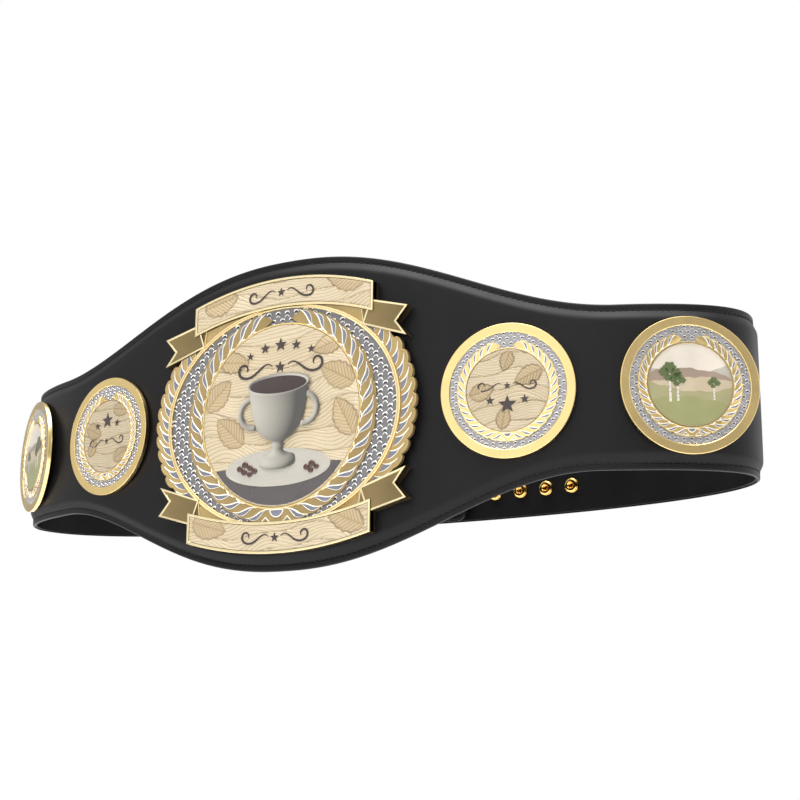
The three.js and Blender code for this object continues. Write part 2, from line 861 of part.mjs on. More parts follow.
const center = plateFrame(0, plateHalfWidth);
addMesh(center.frame, 'center_plate', centerPlate(), 'mattGold');
addMesh(center.frame, 'center_ring', centerRing(), 'gold');
addMesh(center.frame, 'center_wreath', centerWreath(), 'silver');
addMesh(center.frame, 'center_medallion', centerMedallion(), 'relief');
addMesh(center.frame, 'center_emblem', trophyRelief(), 'cream');
addMesh(center.frame, 'top_banner', bannerSolid(topBanner, center), 'gold');
addMesh(center.frame, 'top_banner_panel', bannerPanel(topBanner), 'relief');
addMesh(center.frame, 'bottom_banner', bannerSolid(bottomBanner, center), 'gold');
addMesh(center.frame, 'bottom_banner_panel', bannerPanel(bottomBanner), 'relief');
addScrew(center, 0, centerScrewHeight, 'center_screw_top');
addScrew(center, 0, -centerScrewHeight, 'center_screw_bottom');
belt.add(center.frame);

addMesh(belt, 'strap', cutAll(loft(strapSection, paddedEnd), holes), 'leather');
addMesh(belt, 'strap_lining', cutAll(loft(liningSection, flatEnd), holes), 'lining');

export default belt;
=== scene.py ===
import math

import bpy
import numpy as np
from bpy.props import FloatProperty, FloatVectorProperty, IntProperty, PointerProperty
from mathutils import Matrix, Vector


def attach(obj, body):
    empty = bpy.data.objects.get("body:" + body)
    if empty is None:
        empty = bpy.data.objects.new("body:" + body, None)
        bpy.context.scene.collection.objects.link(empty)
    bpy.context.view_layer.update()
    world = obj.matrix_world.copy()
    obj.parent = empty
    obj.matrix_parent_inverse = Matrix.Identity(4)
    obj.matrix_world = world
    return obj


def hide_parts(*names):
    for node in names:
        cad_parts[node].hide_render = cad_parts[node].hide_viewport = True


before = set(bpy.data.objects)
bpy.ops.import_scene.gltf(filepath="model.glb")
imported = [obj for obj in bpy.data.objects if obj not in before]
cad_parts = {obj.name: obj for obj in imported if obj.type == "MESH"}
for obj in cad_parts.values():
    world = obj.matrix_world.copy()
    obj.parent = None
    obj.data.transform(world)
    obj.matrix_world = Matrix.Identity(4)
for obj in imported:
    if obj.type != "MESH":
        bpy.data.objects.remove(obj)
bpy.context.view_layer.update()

bl_info = {
    "name": "Title Belt",
    "version": (1, 0, 0),
    "blender": (4, 5, 0),
    "location": "3D View > Sidebar > Title Belt",
    "description": "Models a championship title belt around its packed frame",
    "category": "Object",
}

MM = 0.001
NEAR = 0.01 * MM
SMOOTH_ANGLE = math.radians(34)
SIDES = {"left_outer": -1, "left_inner": -1, "right_inner": 1, "right_outer": 1}
SNAP_ROWS = {"top": 1, "bottom": -1}


def length(name, description, default):
    return FloatProperty(
        name=name, description=description, default=default * MM, unit="LENGTH", precision=5
    )


def share(name, description, default):
    return FloatProperty(name=name, description=description, default=default)


def angle(name, description, default):
    return FloatProperty(
        name=name, description=description, default=math.radians(default), subtype="ANGLE"
    )


def colour(name, description, default):
    return FloatVectorProperty(
        name=name, description=description, default=default, subtype="COLOR", size=3, min=0, max=1
    )


class StrapSizes(bpy.types.PropertyGroup):
    """Sizes of the waist loop and the padded strap"""

    loop_half_width: length("Loop half width", "Half the loop from side to side", 302.9)
    loop_front_depth: length("Front depth", "From the middle to the strap's front", 94.8)
    loop_back_depth: length("Back depth", "From the middle to the strap's back", 104.8)
    front_fullness: share("Front fullness", "2 is an ellipse, more is squarer", 2.05)
    back_fullness: share("Back fullness", "2 is an ellipse, more is squarer", 2.16)
    center_half_height: length("Centre half height", "Half the strap's height in front", 110.5)
    top_side_height: length("Top side height", "Top edge over the middle line at the sides", 55.2)
    bottom_side_height: length("Bottom side height", "Bottom edge under the middle line there", 53.8)
    top_flare_reach: length("Top flare reach", "Along the strap, where the top's flare ends", 236.0)
    bottom_flare_reach: length("Bottom flare reach", "Where the bottom's flare ends", 222.6)
    flare_ease: share("Flare ease", "How late the flare falls off", 1.15)
    leather: length("Leather", "Thickness of the leather wall", 1.9)
    lining: length("Lining", "Thickness of the lining", 1.0)
    seat_gap: length("Seat gap", "Gap between pieces that rest on each other", 0.3)
    lining_inset: length("Lining inset", "The lining stops short of the edge", 0.8)
    edge_round: length("Edge rounding", "Radius of the strap's outer edge", 1.2)
    stitch_inset: length("Stitch inset", "From the edge to the seam", 4.4)
    shoulder: length("Shoulder", "Width of the padding's soft shoulder", 7.2)
    padding: length("Padding", "How far the padding stands up", 2.4)
    flat: length("Flat", "What is left of the padding in the closure", 0.4)
    crown: length("Crown", "Extra height in the middle of the strap", 0.2)
    padding_fade: length("Padding fade", "Length over which the padding dies out", 70.0)
    swell: length("Swell", "Height of the leather's slow swells", 0.09)
    corner_radius: length("Corner radius", "Rounding of the strap's ends", 8.0)
    stitch_pitch: length("Stitch pitch", "From one stitch to the next", 3.9)


class ClosureSizes(bpy.types.PropertyGroup):
    """Sizes of the snaps and of the two overlapping ends"""

    pitch: length("Snap pitch", "From one column of snaps to the next", 22.7)
    sockets: IntProperty(name="Socket columns", description="Columns of sockets", default=8, min=1)
    studs: IntProperty(name="Stud columns", description="Columns of studs", default=3, min=1)
    first_engaged: IntProperty(name="First engaged", description="First column with studs", default=5, min=0)
    first_socket: length("First socket", "From the back's middle to the first column", 138.0)
    row_height: length("Row height", "From the strap's middle to a row", 33.4)
    end_margin: length("End margin", "Leather past the last snap", 22.3)
    tuck_lead: length("Tuck lead", "Fully tucked stretch before the outer end", 12.0)
    tuck_length: length("Tuck length", "Length over which the inner end moves in", 75.0)
    cap_radius: length("Cap radius", "Radius of a snap's outer cap", 6.2)
    cap_rise: length("Cap rise", "Height of a snap's outer cap", 1.8)
    rivet_radius: length("Rivet radius", "Radius of a snap's post", 2.0)
    socket_radius: length("Socket radius", "Radius of a socket", 5.4)
    socket_height: length("Socket height", "Height of a socket", 3.4)
    socket_bore: length("Socket bore", "Radius of a socket's hole", 2.5)
    stud_radius: length("Stud radius", "Radius of a stud's head", 1.9)


class PlateSizes(bpy.types.PropertyGroup):
    """Sizes of the cast plates"""

    inner_arc: length("Inner plate place", "Along the strap from its middle", 166.2)
    outer_arc: length("Outer plate place", "Along the strap from its middle", 280.8)
    side_radius: length("Side plate radius", "Radius of a side plate", 45.0)
    side_thickness: length("Side plate thickness", "Thickness of a side plate", 3.3)
    side_rim: length("Side rim", "Width of a side plate's rim", 6.0)
    side_recess: length("Side recess", "Depth of a side plate's field", 0.9)
    side_band: length("Side scale band", "Width of the scales outside the wreath", 5.0)
    side_wreath: length("Side wreath", "Width of a side plate's wreath", 6.3)
    half_width: length("Centre half width", "Half the centre plate's width", 107.5)
    half_height: length("Centre half height", "Half the centre plate's height", 91.0)
    thickness: length("Centre thickness", "Thickness of the centre plate", 3.3)
    drop: length("Centre drop", "The rings' middle is this far below the strap's", 3.0)
    laurel_width: length("Laurel width", "Width of the outer laurel", 11.6)
    laurel_height: length("Laurel height", "Rim above and below the ring", 12.0)
    laurel_reach: length("Laurel reach", "Half the height that the laurel covers", 46.0)
    laurel_notch: length("Laurel notch", "Depth of the outline's notches", 3.0)
    ring_width: length("Ring width", "Width of the polished ring", 2.8)
    ring_rise: length("Ring rise", "Height of the ring over the plate", 1.2)
    wreath_half_width: length("Wreath half width", "Half the inner wreath's width", 78.0)
    medallion_radius: length("Medallion radius", "Radius of the medallion", 64.2)
    banner_end_drop: length("Banner end drop", "How far a banner's ends reach behind the plate's back", 2.1)
    tail_drop: length("Tail drop", "How far the tails reach behind the plate's back", 3.2)
    banner_half_width: length("Banner half width", "Half a banner's width", 74.6)
    banner_rise: length("Banner rise", "Height of a banner over the plate", 2.4)
    banner_rim: length("Banner rim", "Width of a banner's frame", 1.8)
    tail_length: length("Tail length", "Length of a ribbon's tail", 26.0)
    tail_width: length("Tail width", "Width of a ribbon's tail", 20.8)


class BeltColours(bpy.types.PropertyGroup):
    """Colours of the belt's finishes"""

    leather: colour("Leather", "Strap leather", (0.0062, 0.0055, 0.0062))
    lining: colour("Lining", "Lining leather", (0.0018, 0.0016, 0.0018))
    thread: colour("Thread", "Seam thread", (0.017, 0.016, 0.017))
    gold: colour("Gold", "Polished gold", (0.94, 0.70, 0.31))
    matt_gold: colour("Matt gold", "Sandblasted gold", (0.38, 0.28, 0.125))
    bright: colour("Bright edge", "Polished raised edges", (1.0, 0.83, 0.50))
    nickel: colour("Nickel", "Scales", (0.84, 0.82, 0.81))
    field: colour("Field", "Ground under the scales", (0.21, 0.206, 0.21))
    steel_blue: colour("Steel blue", "Ground inside the leaves", (0.20, 0.207, 0.245))
    relief: colour("Relief", "Pale gold low relief", (0.60, 0.505, 0.35))
    relief_leaf: colour("Relief leaf", "Deeper gold of the relief's leaves", (0.49, 0.38, 0.225))
    cream: colour("Cream", "Cream enamel", (0.42, 0.395, 0.34))
    white_gold: colour("White gold", "Ridges of the leaves", (1.0, 0.95, 0.87))
    slate: colour("Slate", "Grey enamel of the floor", (0.075, 0.066, 0.064))
    berry: colour("Berry", "Red-brown enamel", (0.06, 0.022, 0.018))
    umber: colour("Umber", "Dark brown enamel", (0.035, 0.022, 0.02))
    snap: colour("Snap gold", "Gold of the snaps and screws", (0.86, 0.56, 0.17))


class StageSizes(bpy.types.PropertyGroup):
    """The photograph's camera, and the floor far below the belt"""

    azimuth: angle("Azimuth", "The camera's angle round the belt", 29.331)
    elevation: angle("Elevation", "The camera's angle above the horizon", -12.923)
    roll: angle("Roll", "The camera's tilt to the side", 0.537)
    distance: length("Distance", "From the camera to its target", 1083.0)
    target_x: length("Target X", "The camera looks at this place", 38.62)
    target_z: length("Target Z", "The camera looks at this height", 24.26)
    lens: FloatProperty(name="Lens", description="Focal length in mm on a 36 mm sensor", default=65.67)
    floor_height: length("Floor", "Height of the floor", -1000.0)


def belt():
    return bpy.context.scene.title_belt_strap


def closure():
    return bpy.context.scene.title_belt_closure


def plates():
    return bpy.context.scene.title_belt_plates


def colours():
    return bpy.context.scene.title_belt_colours


# Waist loop


class WaistLoop:
    """The strap's outer edge line seen from above; arc 0 is the middle of the front"""

    samples = 2880

    def __init__(self, sizes):
        turn = np.linspace(0, 2 * math.pi, self.samples + 1)
        side, front = np.sin(turn), np.cos(turn)
        fullness = np.where(front >= 0, sizes.front_fullness, sizes.back_fullness)
        depth = np.where(front >= 0, sizes.loop_front_depth, sizes.loop_back_depth)
        x = sizes.loop_half_width * np.sign(side) * np.abs(side) ** (2 / fullness)
        y = -depth * np.sign(front) * np.abs(front) ** (2 / fullness)
        self.points = np.stack([x, y], axis=1)
        steps = np.linalg.norm(np.diff(self.points, axis=0), axis=1)
        self.arcs = np.concatenate([[0], np.cumsum(steps)])
        self.length = float(self.arcs[-1])
        self.back = self.length / 2

    def at(self, arc):
        """Points, directions along the strap and directions outwards at the arcs"""
        arc = np.asarray(arc, float)

        def place(a):
            wrapped = np.mod(a, self.length)
            return np.stack([np.interp(wrapped, self.arcs, self.points[:, i]) for i in (0, 1)], axis=-1)

        reach = 1.5 * MM
        along = place(arc + reach) - place(arc - reach)
        along /= np.linalg.norm(along, axis=-1, keepdims=True)
        outward = np.stack([along[..., 1], -along[..., 0]], axis=-1)
        return place(arc), along, outward


def smooth_step(x):
    x = np.clip(x, 0, 1)
    return x * x * (3 - 2 * x)


class Strap:
    """How the strap runs: its ends, its height, its padding and its tucked end"""

    def __init__(self):
        s, c = belt(), closure()
        self.sizes = s
        self.loop = WaistLoop(s)
        back = self.loop.back
        outer_end = c.first_socket - (c.sockets - 1) * c.pitch - c.end_margin
        inner_end = c.first_socket - c.first_engaged * c.pitch + c.end_margin
        self.start, self.stop = -back - inner_end, back - outer_end
        self.closure_start = c.first_socket + c.pitch / 2
        self.tuck_full = outer_end - c.tuck_lead
        self.tuck_start = self.tuck_full - c.tuck_length
        self.tuck_length = c.tuck_length
        self.wall = s.leather + s.seat_gap + s.lining
        stud_flange = 0.5 * MM
        self.stack = 3 * s.seat_gap + c.socket_height + stud_flange
        self.tuck_depth = self.wall + self.stack + s.flat + s.crown

    def edge(self, arc, side):
        """Height of the top edge for a side of 1, of the bottom edge for a side of -1"""
        s = self.sizes
        if side > 0:
            low, far = s.top_side_height, s.top_flare_reach
        else:
            low, far = s.bottom_side_height, s.bottom_flare_reach
        reach = np.minimum(np.abs(arc) / far, 1) ** s.flare_ease
        flare = (1 + np.cos(math.pi * reach)) / 2
        full = low + (s.center_half_height - low) * flare
        to_end = np.minimum(self.stop - arc, arc - self.start)
        into = np.clip(s.corner_radius - to_end, 0, s.corner_radius)
        return side * (full - s.corner_radius + np.sqrt(s.corner_radius**2 - into**2))

    def inset(self, arc):
        """How far the tucked end lies inside the loop"""
        from_back = -self.loop.back - arc
        tucked = smooth_step((from_back - self.tuck_start) / self.tuck_length)
        return np.where(arc > 0, 0, self.tuck_depth * tucked)

    def rise(self, arc):
        """Height of the padding, which dies out towards the closure"""
        s = self.sizes
        room = np.minimum(self.loop.back - arc - self.closure_start, arc + self.loop.back + self.tuck_start)
        return s.flat + (s.padding - s.flat) * smooth_step(room / s.padding_fade)

    def arcs(self, pitch):
        """Cross sections from end to end, closer together round the ends' corners"""
        s = self.sizes
        count = round((self.stop - self.start - 2 * s.corner_radius) / pitch)
        body = np.linspace(self.start + s.corner_radius, self.stop - s.corner_radius, count)
        turn = np.linspace(0, math.pi / 2, 7)[:-1]
        corner = s.corner_radius * (1 - np.cos(turn))
        return np.concatenate([self.start + corner, body, (self.stop - corner)[::-1]])

    def places(self, arc, level, height):
        """Points at a level over the edge line and at a height"""
        point, _, outward = self.loop.at(arc)
        place = point + outward * (level - self.inset(arc))[..., None]
        return np.concatenate([place, np.broadcast_to(height, arc.shape)[..., None]], axis=-1)


# Making and finishing objects


def deselect():
    if bpy.context.object and bpy.context.object.mode != "OBJECT":
        bpy.ops.object.mode_set(mode="OBJECT")
    bpy.ops.object.select_all(action="DESELECT")


def only(ob):
    deselect()
    ob.select_set(True)
    bpy.context.view_layer.objects.active = ob


def extrude(height):
    bpy.ops.mesh.extrude_region_move(TRANSFORM_OT_translate={"value": (0, 0, height)})


def close_edit():
    """Turns all faces outwards and leaves edit mode"""
    bpy.ops.mesh.select_all(action="SELECT")
    bpy.ops.mesh.normals_make_consistent(inside=False)
    bpy.ops.object.mode_set(mode="OBJECT")


def new_object(name, points, faces):
    mesh = bpy.data.meshes.new(name)
    mesh.from_pydata([tuple(p) for p in points], [], [tuple(f) for f in faces])
    mesh.update()
    ob = bpy.data.objects.new(name, mesh)
    bpy.context.scene.collection.objects.link(ob)
    return ob


def select_faces(ob, test):
    """Into edit mode, with the faces selected whose middle and normal pass the test"""
    only(ob)
    mesh = ob.data
    for part in (mesh.vertices, mesh.edges, mesh.polygons):
        part.foreach_set("select", [False] * len(part))
    for face in mesh.polygons:
        face.select = bool(test(face.center, face.normal))
    bpy.context.tool_settings.mesh_select_mode = (False, False, True)
    bpy.ops.object.mode_set(mode="EDIT")


def paint_selected(ob, slot):
    bpy.ops.object.mode_set(mode="OBJECT")
    for face in ob.data.polygons:
        if face.select:
            face.material_index = slot


def paint(ob, slot, test=lambda c, n: True):
    """Gives a material slot to the faces whose middle and normal pass the test"""
    for face in ob.data.polygons:
        if test(face.center, face.normal):
            face.material_index = slot
    return ob


def coat(ob, materials):
    """Fills the material slots; clearing them resets the faces, whose numbers are put back"""
    slots = [face.material_index for face in ob.data.polygons]
    ob.data.materials.clear()
    for material in materials:
        ob.data.materials.append(material)
    ob.data.polygons.foreach_set("material_index", slots)


def dress(ob, *materials):
    """Material slots in order, then smooth shading with sharp edges kept"""
    coat(ob, materials)
    only(ob)
    bpy.ops.object.shade_smooth_by_angle(angle=SMOOTH_ANGLE)
    return ob


def soften(ob, width, segments=2, angle=40):
    """Bevel modifier on the sharp edges, applied"""
    only(ob)
    bevel = ob.modifiers.new("soft_edges", "BEVEL")
    bevel.width = width
    bevel.segments = segments
    bevel.limit_method = "ANGLE"
    bevel.angle_limit = math.radians(angle)
    bevel.harden_normals = False
    bpy.ops.object.modifier_apply(modifier=bevel.name)
    return ob


def plaque(name, outline, base, top, slot=0):
    """A flat plate: a circle with one corner for each point of the outline, filled and extruded"""
    deselect()
    bpy.ops.mesh.primitive_circle_add(vertices=len(outline), radius=1, fill_type="NGON")
    ob = bpy.context.object
    ob.name = name
    for vertex, (x, y) in zip(ob.data.vertices, outline):
        vertex.co = (x, y, base)
    bpy.ops.object.mode_set(mode="EDIT")
    bpy.ops.mesh.select_all(action="SELECT")
    extrude(top - base)
    close_edit()
    return paint(ob, slot)


def sink_top(ob, rim, depth, slot):
    """The top face inset by a rim, pressed in and given another material"""
    top = max(v.co.z for v in ob.data.vertices)
    select_faces(ob, lambda c, n: n.z > 0.9 and c.z > top - NEAR)
    bpy.ops.mesh.inset(thickness=rim, depth=0)
    extrude(-depth)
    paint_selected(ob, slot)
    return ob


def turned(name, profile, sides=64):
    """A turned piece: a filled circle, extruded and resized from ring to ring up its profile"""
    (radius, level), *rest = profile
    deselect()
    bpy.ops.mesh.primitive_circle_add(vertices=sides, radius=radius, fill_type="NGON", location=(0, 0, level))
    ob = bpy.context.object
    ob.name = name
    bpy.ops.object.transform_apply(location=True)
    bpy.ops.object.mode_set(mode="EDIT")
    bpy.ops.mesh.select_all(action="SELECT")
    for next_radius, next_level in rest:
        extrude(next_level - level)
        grow = next_radius / radius
        bpy.ops.transform.resize(value=(grow, grow, 1), center_override=(0, 0, next_level))
        radius, level = next_radius, next_level
    close_edit()
    return ob


def copies(name, pattern, places):
    """One mesh of many copies of a pattern, each put in its place by a matrix"""
    mesh = pattern.data
    corners = np.array([v.co for v in mesh.vertices])
    faces = [tuple(p.vertices) for p in mesh.polygons]
    slots = [p.material_index for p in mesh.polygons]
    points, joined = [], []
    for i, matrix in enumerate(places):
        m = np.array(matrix)
        points.append(corners @ m[:3, :3].T + m[:3, 3])
        order = -1 if np.linalg.det(m[:3, :3]) < 0 else 1
        joined += [tuple(i * len(corners) + v for v in face[::order]) for face in faces]
    ob = new_object(name, np.concatenate(points), joined)
    ob.data.polygons.foreach_set("material_index", slots * len(places))
    return ob


def join(name, obs):
    """One mesh of several, listed in the order they were made; their material numbers are kept"""
    slots = [face.material_index for ob in obs for face in ob.data.polygons]
    for ob in obs:
        ob.data.materials.clear()
    only(obs[0])
    for ob in obs[1:]:
        ob.select_set(True)
    bpy.ops.object.join()
    ob = bpy.context.object
    ob.data.polygons.foreach_set("material_index", slots)
    ob.name = name
    ob.data.name = name
    return ob


def drop_object(ob):
    bpy.data.objects.remove(ob)


def ellipse_point(half_width, half_height, turn, drop=0.0):
    return (half_width * math.cos(turn), half_height * math.sin(turn) - drop)


def ellipse(half_width, half_height, sides, drop=0.0):
    return [ellipse_point(half_width, half_height, 2 * math.pi * i / sides, drop) for i in range(sides)]


def mirrored(points):
    return [(-x, y) for x, y in reversed(points)]


def moved(points, x, y):
    return [(x + px, y + py) for px, py in points]


def axes_matrix(x, y, z, origin):
    matrix = Matrix((x, y, z)).transposed().to_4x4()
    matrix.translation = origin
    return matrix


def plate_frame(node, arc):
    """A plate's own frame: its origin is the middle of its back, X is to the right, Z outwards"""
    point, along, outward = Strap().loop.at(arc)
    face = Vector((outward[0], outward[1], 0))
    seat = min(v.co.dot(face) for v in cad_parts[node].data.vertices)
    origin = Vector((point[0], point[1], 0))
    origin += face * (seat - origin.dot(face))
    return axes_matrix(Vector((along[0], along[1], 0)), Vector((0, 0, 1)), face, origin)


def side_frame(side):
    """The frame of one of the four round plates"""
    arc = plates().outer_arc if side.endswith("outer") else plates().inner_arc
    return plate_frame(side + "_plate", SIDES[side] * arc)


def finish_piece(ob, name, place, slot, *nodes):
    """Puts a piece in the belt's frame, gives it a body and hides the frame's parts that it stands for"""
    if place is not None:
        ob.data.transform(place)
    ob.name = name
    ob.data.name = name
    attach(ob, "root")
    if nodes:
        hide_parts(*nodes)
    return ob


# Materials

MASK_LOW, MASK_HIGH = 0.3, 0.7


def calc(tree, operation, *values):
    """The result of a Math node on sockets and numbers"""
    node = tree.nodes.new("ShaderNodeMath")
    node.operation = operation
    for socket, value in zip(node.inputs, values):
        if isinstance(value, bpy.types.NodeSocket):
            tree.links.new(value, socket)
        else:
            socket.default_value = value
    return node.outputs[0]


def attribute(tree, name):
    node = tree.nodes.new("ShaderNodeAttribute")
    node.attribute_name = name
    return node.outputs["Fac"]


def shading_group(name, scales, outputs):
    """A node group from a vector and scales to numbers; one that exists comes without its ends"""
    if name in bpy.data.node_groups:
        return bpy.data.node_groups[name], None, None
    tree = bpy.data.node_groups.new(name, "ShaderNodeTree")
    tree.interface.new_socket(name="Vector", in_out="INPUT", socket_type="NodeSocketVector")
    for socket, default in scales.items():
        item = tree.interface.new_socket(name=socket, in_out="INPUT", socket_type="NodeSocketFloat")
        item.default_value = default
    for socket in outputs:
        tree.interface.new_socket(name=socket, in_out="OUTPUT", socket_type="NodeSocketFloat")
    return tree, tree.nodes.new("NodeGroupInput"), tree.nodes.new("NodeGroupOutput")


def feed(tree, inside, node, scale):
    """Places and scales a texture by the group's inputs"""
    tree.links.new(inside.outputs["Vector"], node.inputs["Vector"])
    tree.links.new(inside.outputs[scale], node.inputs["Scale"])


def noise(tree, inside, scale, detail):
    """The value of a noise texture that the group's inputs place and scale"""
    node = tree.nodes.new("ShaderNodeTexNoise")
    node.inputs["Detail"].default_value = detail
    feed(tree, inside, node, scale)
    return node.outputs["Fac"]


def grain_group():
    """Leather grain: small rounded cells over slow swells, as a height, with a mask of the swells"""
    tree, inside, out = shading_group("Leather grain", {"Cells": 900.0, "Swells": 30.0}, ("Height", "Mask"))
    if out:
        cells = tree.nodes.new("ShaderNodeTexVoronoi")
        cells.feature = "DISTANCE_TO_EDGE"
        feed(tree, inside, cells, "Cells")
        swells = noise(tree, inside, "Swells", 3.0)
        pores = calc(tree, "MINIMUM", cells.outputs["Distance"], 0.25)
        tree.links.new(calc(tree, "MULTIPLY_ADD", pores, 2.0, swells), out.inputs["Height"])
        tree.links.new(swells, out.inputs["Mask"])
    return tree


def wear_group():
    """Handling marks: fine blotches and hairlines, as a mask and a height"""
    tree, inside, out = shading_group("Handling marks", {"Blotches": 60.0, "Grit": 1500.0}, ("Mask", "Height"))
    if out:
        for scale, detail, output in (("Blotches", 4.0, "Mask"), ("Grit", 2.0, "Height")):
            tree.links.new(noise(tree, inside, scale, detail), out.inputs[output])
    return tree


def mix_colours(tree, mask, dark, light):
    """Dark where the mask is 0 and light where it is 1"""
    mix = tree.nodes.new("ShaderNodeMix")
    mix.data_type = "RGBA"
    mix.inputs["A"].default_value = (*dark, 1)
    mix.inputs["B"].default_value = (*light, 1)
    tree.links.new(mask, mix.inputs["Factor"])
    return mix.outputs["Result"]


def spread(tree, value, low, high, to_low, to_high):
    """A value from low to high mapped to a new range"""
    node = tree.nodes.new("ShaderNodeMapRange")
    for key, number in (("From Min", low), ("From Max", high), ("To Min", to_low), ("To Max", to_high)):
        node.inputs[key].default_value = number
    tree.links.new(value, node.inputs["Value"])
    return node.outputs["Result"]


def shaded(col, factor):
    return tuple(min(c * factor, 1.0) for c in col)


def base_material(slot, col, metallic, roughness):
    """A material of the scene's own, kept apart from the frame's plain one for the same slot"""
    name = "belt_" + slot
    if name in bpy.data.materials:
        return bpy.data.materials[name], None, None
    material = bpy.data.materials.new(name)
    material.use_nodes = True
    material.diffuse_color = (*col, 1)
    tree = material.node_tree
    shader = tree.nodes["Principled BSDF"]
    shader.inputs["Base Color"].default_value = (*col, 1)
    shader.inputs["Metallic"].default_value = metallic
    shader.inputs["Roughness"].default_value = roughness
    return material, tree, shader


def group_node(tree, group, **values):
    node = tree.nodes.new("ShaderNodeGroup")
    node.node_tree = group
    place = tree.nodes.new("ShaderNodeTexCoord")
    tree.links.new(place.outputs["Object"], node.inputs["Vector"])
    for key, value in values.items():
        node.inputs[key.title()].default_value = value
    return node


def add_bump(tree, shader, height, strength, distance):
    bump = tree.nodes.new("ShaderNodeBump")
    bump.inputs["Strength"].default_value = strength
    bump.inputs["Distance"].default_value = distance
    tree.links.new(height, bump.inputs["Height"])
    tree.links.new(bump.outputs["Normal"], shader.inputs["Normal"])
    return bump


def leather(name, col, roughness, cells, strength):
    """Grained leather whose tone and gloss follow its slow swells"""
    material, tree, shader = base_material(name, col, 0.0, roughness)
    if tree:
        grain = group_node(tree, grain_group(), cells=cells, swells=24.0)
        tone = mix_colours(tree, grain.outputs["Mask"], shaded(col, 0.8), shaded(col, 1.25))
        tree.links.new(tone, shader.inputs["Base Color"])
        rough = spread(tree, grain.outputs["Mask"], MASK_LOW, MASK_HIGH, roughness - 0.05, roughness + 0.06)
        tree.links.new(rough, shader.inputs["Roughness"])
        add_bump(tree, shader, grain.outputs["Height"], strength, 0.12 * MM)
        shader.inputs["Specular IOR Level"].default_value = 0.2
    return material


def metal(name, col, metallic, roughness, blotches, grit, strength, vary):
    """A finish with handling marks in its tone, roughness and height"""
    material, tree, shader = base_material(name, col, metallic, roughness)
    if tree:
        marks = group_node(tree, wear_group(), blotches=blotches, grit=grit)
        tone = mix_colours(tree, marks.outputs["Mask"], shaded(col, 1 - vary), shaded(col, 1 + vary))
        tree.links.new(tone, shader.inputs["Base Color"])
        rough = spread(tree, marks.outputs["Mask"], MASK_LOW, MASK_HIGH, roughness * 0.8, roughness * 1.25)
        tree.links.new(rough, shader.inputs["Roughness"])
        add_bump(tree, shader, marks.outputs["Height"], strength, 0.05 * MM)
    return material


def relief_material(name, ground, leaf):
    """Pale gold with lines cut along the piece's own phase attribute, darkened both by these lines and by
    painted shade in its grooves
    """
    material, tree, shader = base_material(name, ground, 0.25, 0.42)
    if tree:
        wave = calc(tree, "SINE", attribute(tree, "line_phase"))
        line = spread(tree, wave, 0.35, 1.0, 0.0, 1.0)
        faint = spread(tree, line, 0.0, 1.0, 0.0, 0.5)
        # The cut lines and the painted shade of the grooves darken the colour together, by one multiply
        lines_and_groove_shade = tree.nodes.new("ShaderNodeMix")
        lines_and_groove_shade.data_type = "RGBA"
        lines_and_groove_shade.blend_type = "MULTIPLY"
        lines_and_groove_shade.inputs["B"].default_value = (0.5, 0.4, 0.27, 1)
        tone = mix_colours(tree, attribute(tree, "leaf_share"), ground, leaf)
        tree.links.new(tone, lines_and_groove_shade.inputs["A"])
        tree.links.new(calc(tree, "MAXIMUM", faint, attribute(tree, "crease")), lines_and_groove_shade.inputs["Factor"])
        tree.links.new(lines_and_groove_shade.outputs["Result"], shader.inputs["Base Color"])
        marks = group_node(tree, wear_group(), blotches=90.0, grit=900.0)
        grit = spread(tree, marks.outputs["Height"], 0.0, 1.0, 0.0, 0.35)
        add_bump(tree, shader, calc(tree, "MULTIPLY_ADD", line, -1.0, grit), 0.8, 0.3 * MM)
    return material


def enamel(name, col, roughness=0.25, vary=0.12, blotches=70.0):
    material = metal(name, col, 0.0, roughness, blotches, 700.0, 0.03, vary)
    shader = material.node_tree.nodes["Principled BSDF"]
    shader.inputs["Coat Weight"].default_value = 0.35
    shader.inputs["Coat Roughness"].default_value = 0.12
    return material


def umber_enamel():
    return enamel("umber_enamel", colours().umber, 0.3, 0.2)


def shaded_enamel(col):
    """Cream enamel, painted darker where the piece's own shade attribute says so"""
    material = enamel("cream_enamel", col, 0.22, 0.05, 40.0)
    tree = material.node_tree
    amount = spread(tree, attribute(tree, "painted_shade"), 0.08, 0.68, 0.0, 1.0)
    tone = mix_colours(tree, amount, col, shaded(col, 0.13))
    tree.links.new(tone, tree.nodes["Principled BSDF"].inputs["Base Color"])
    return material


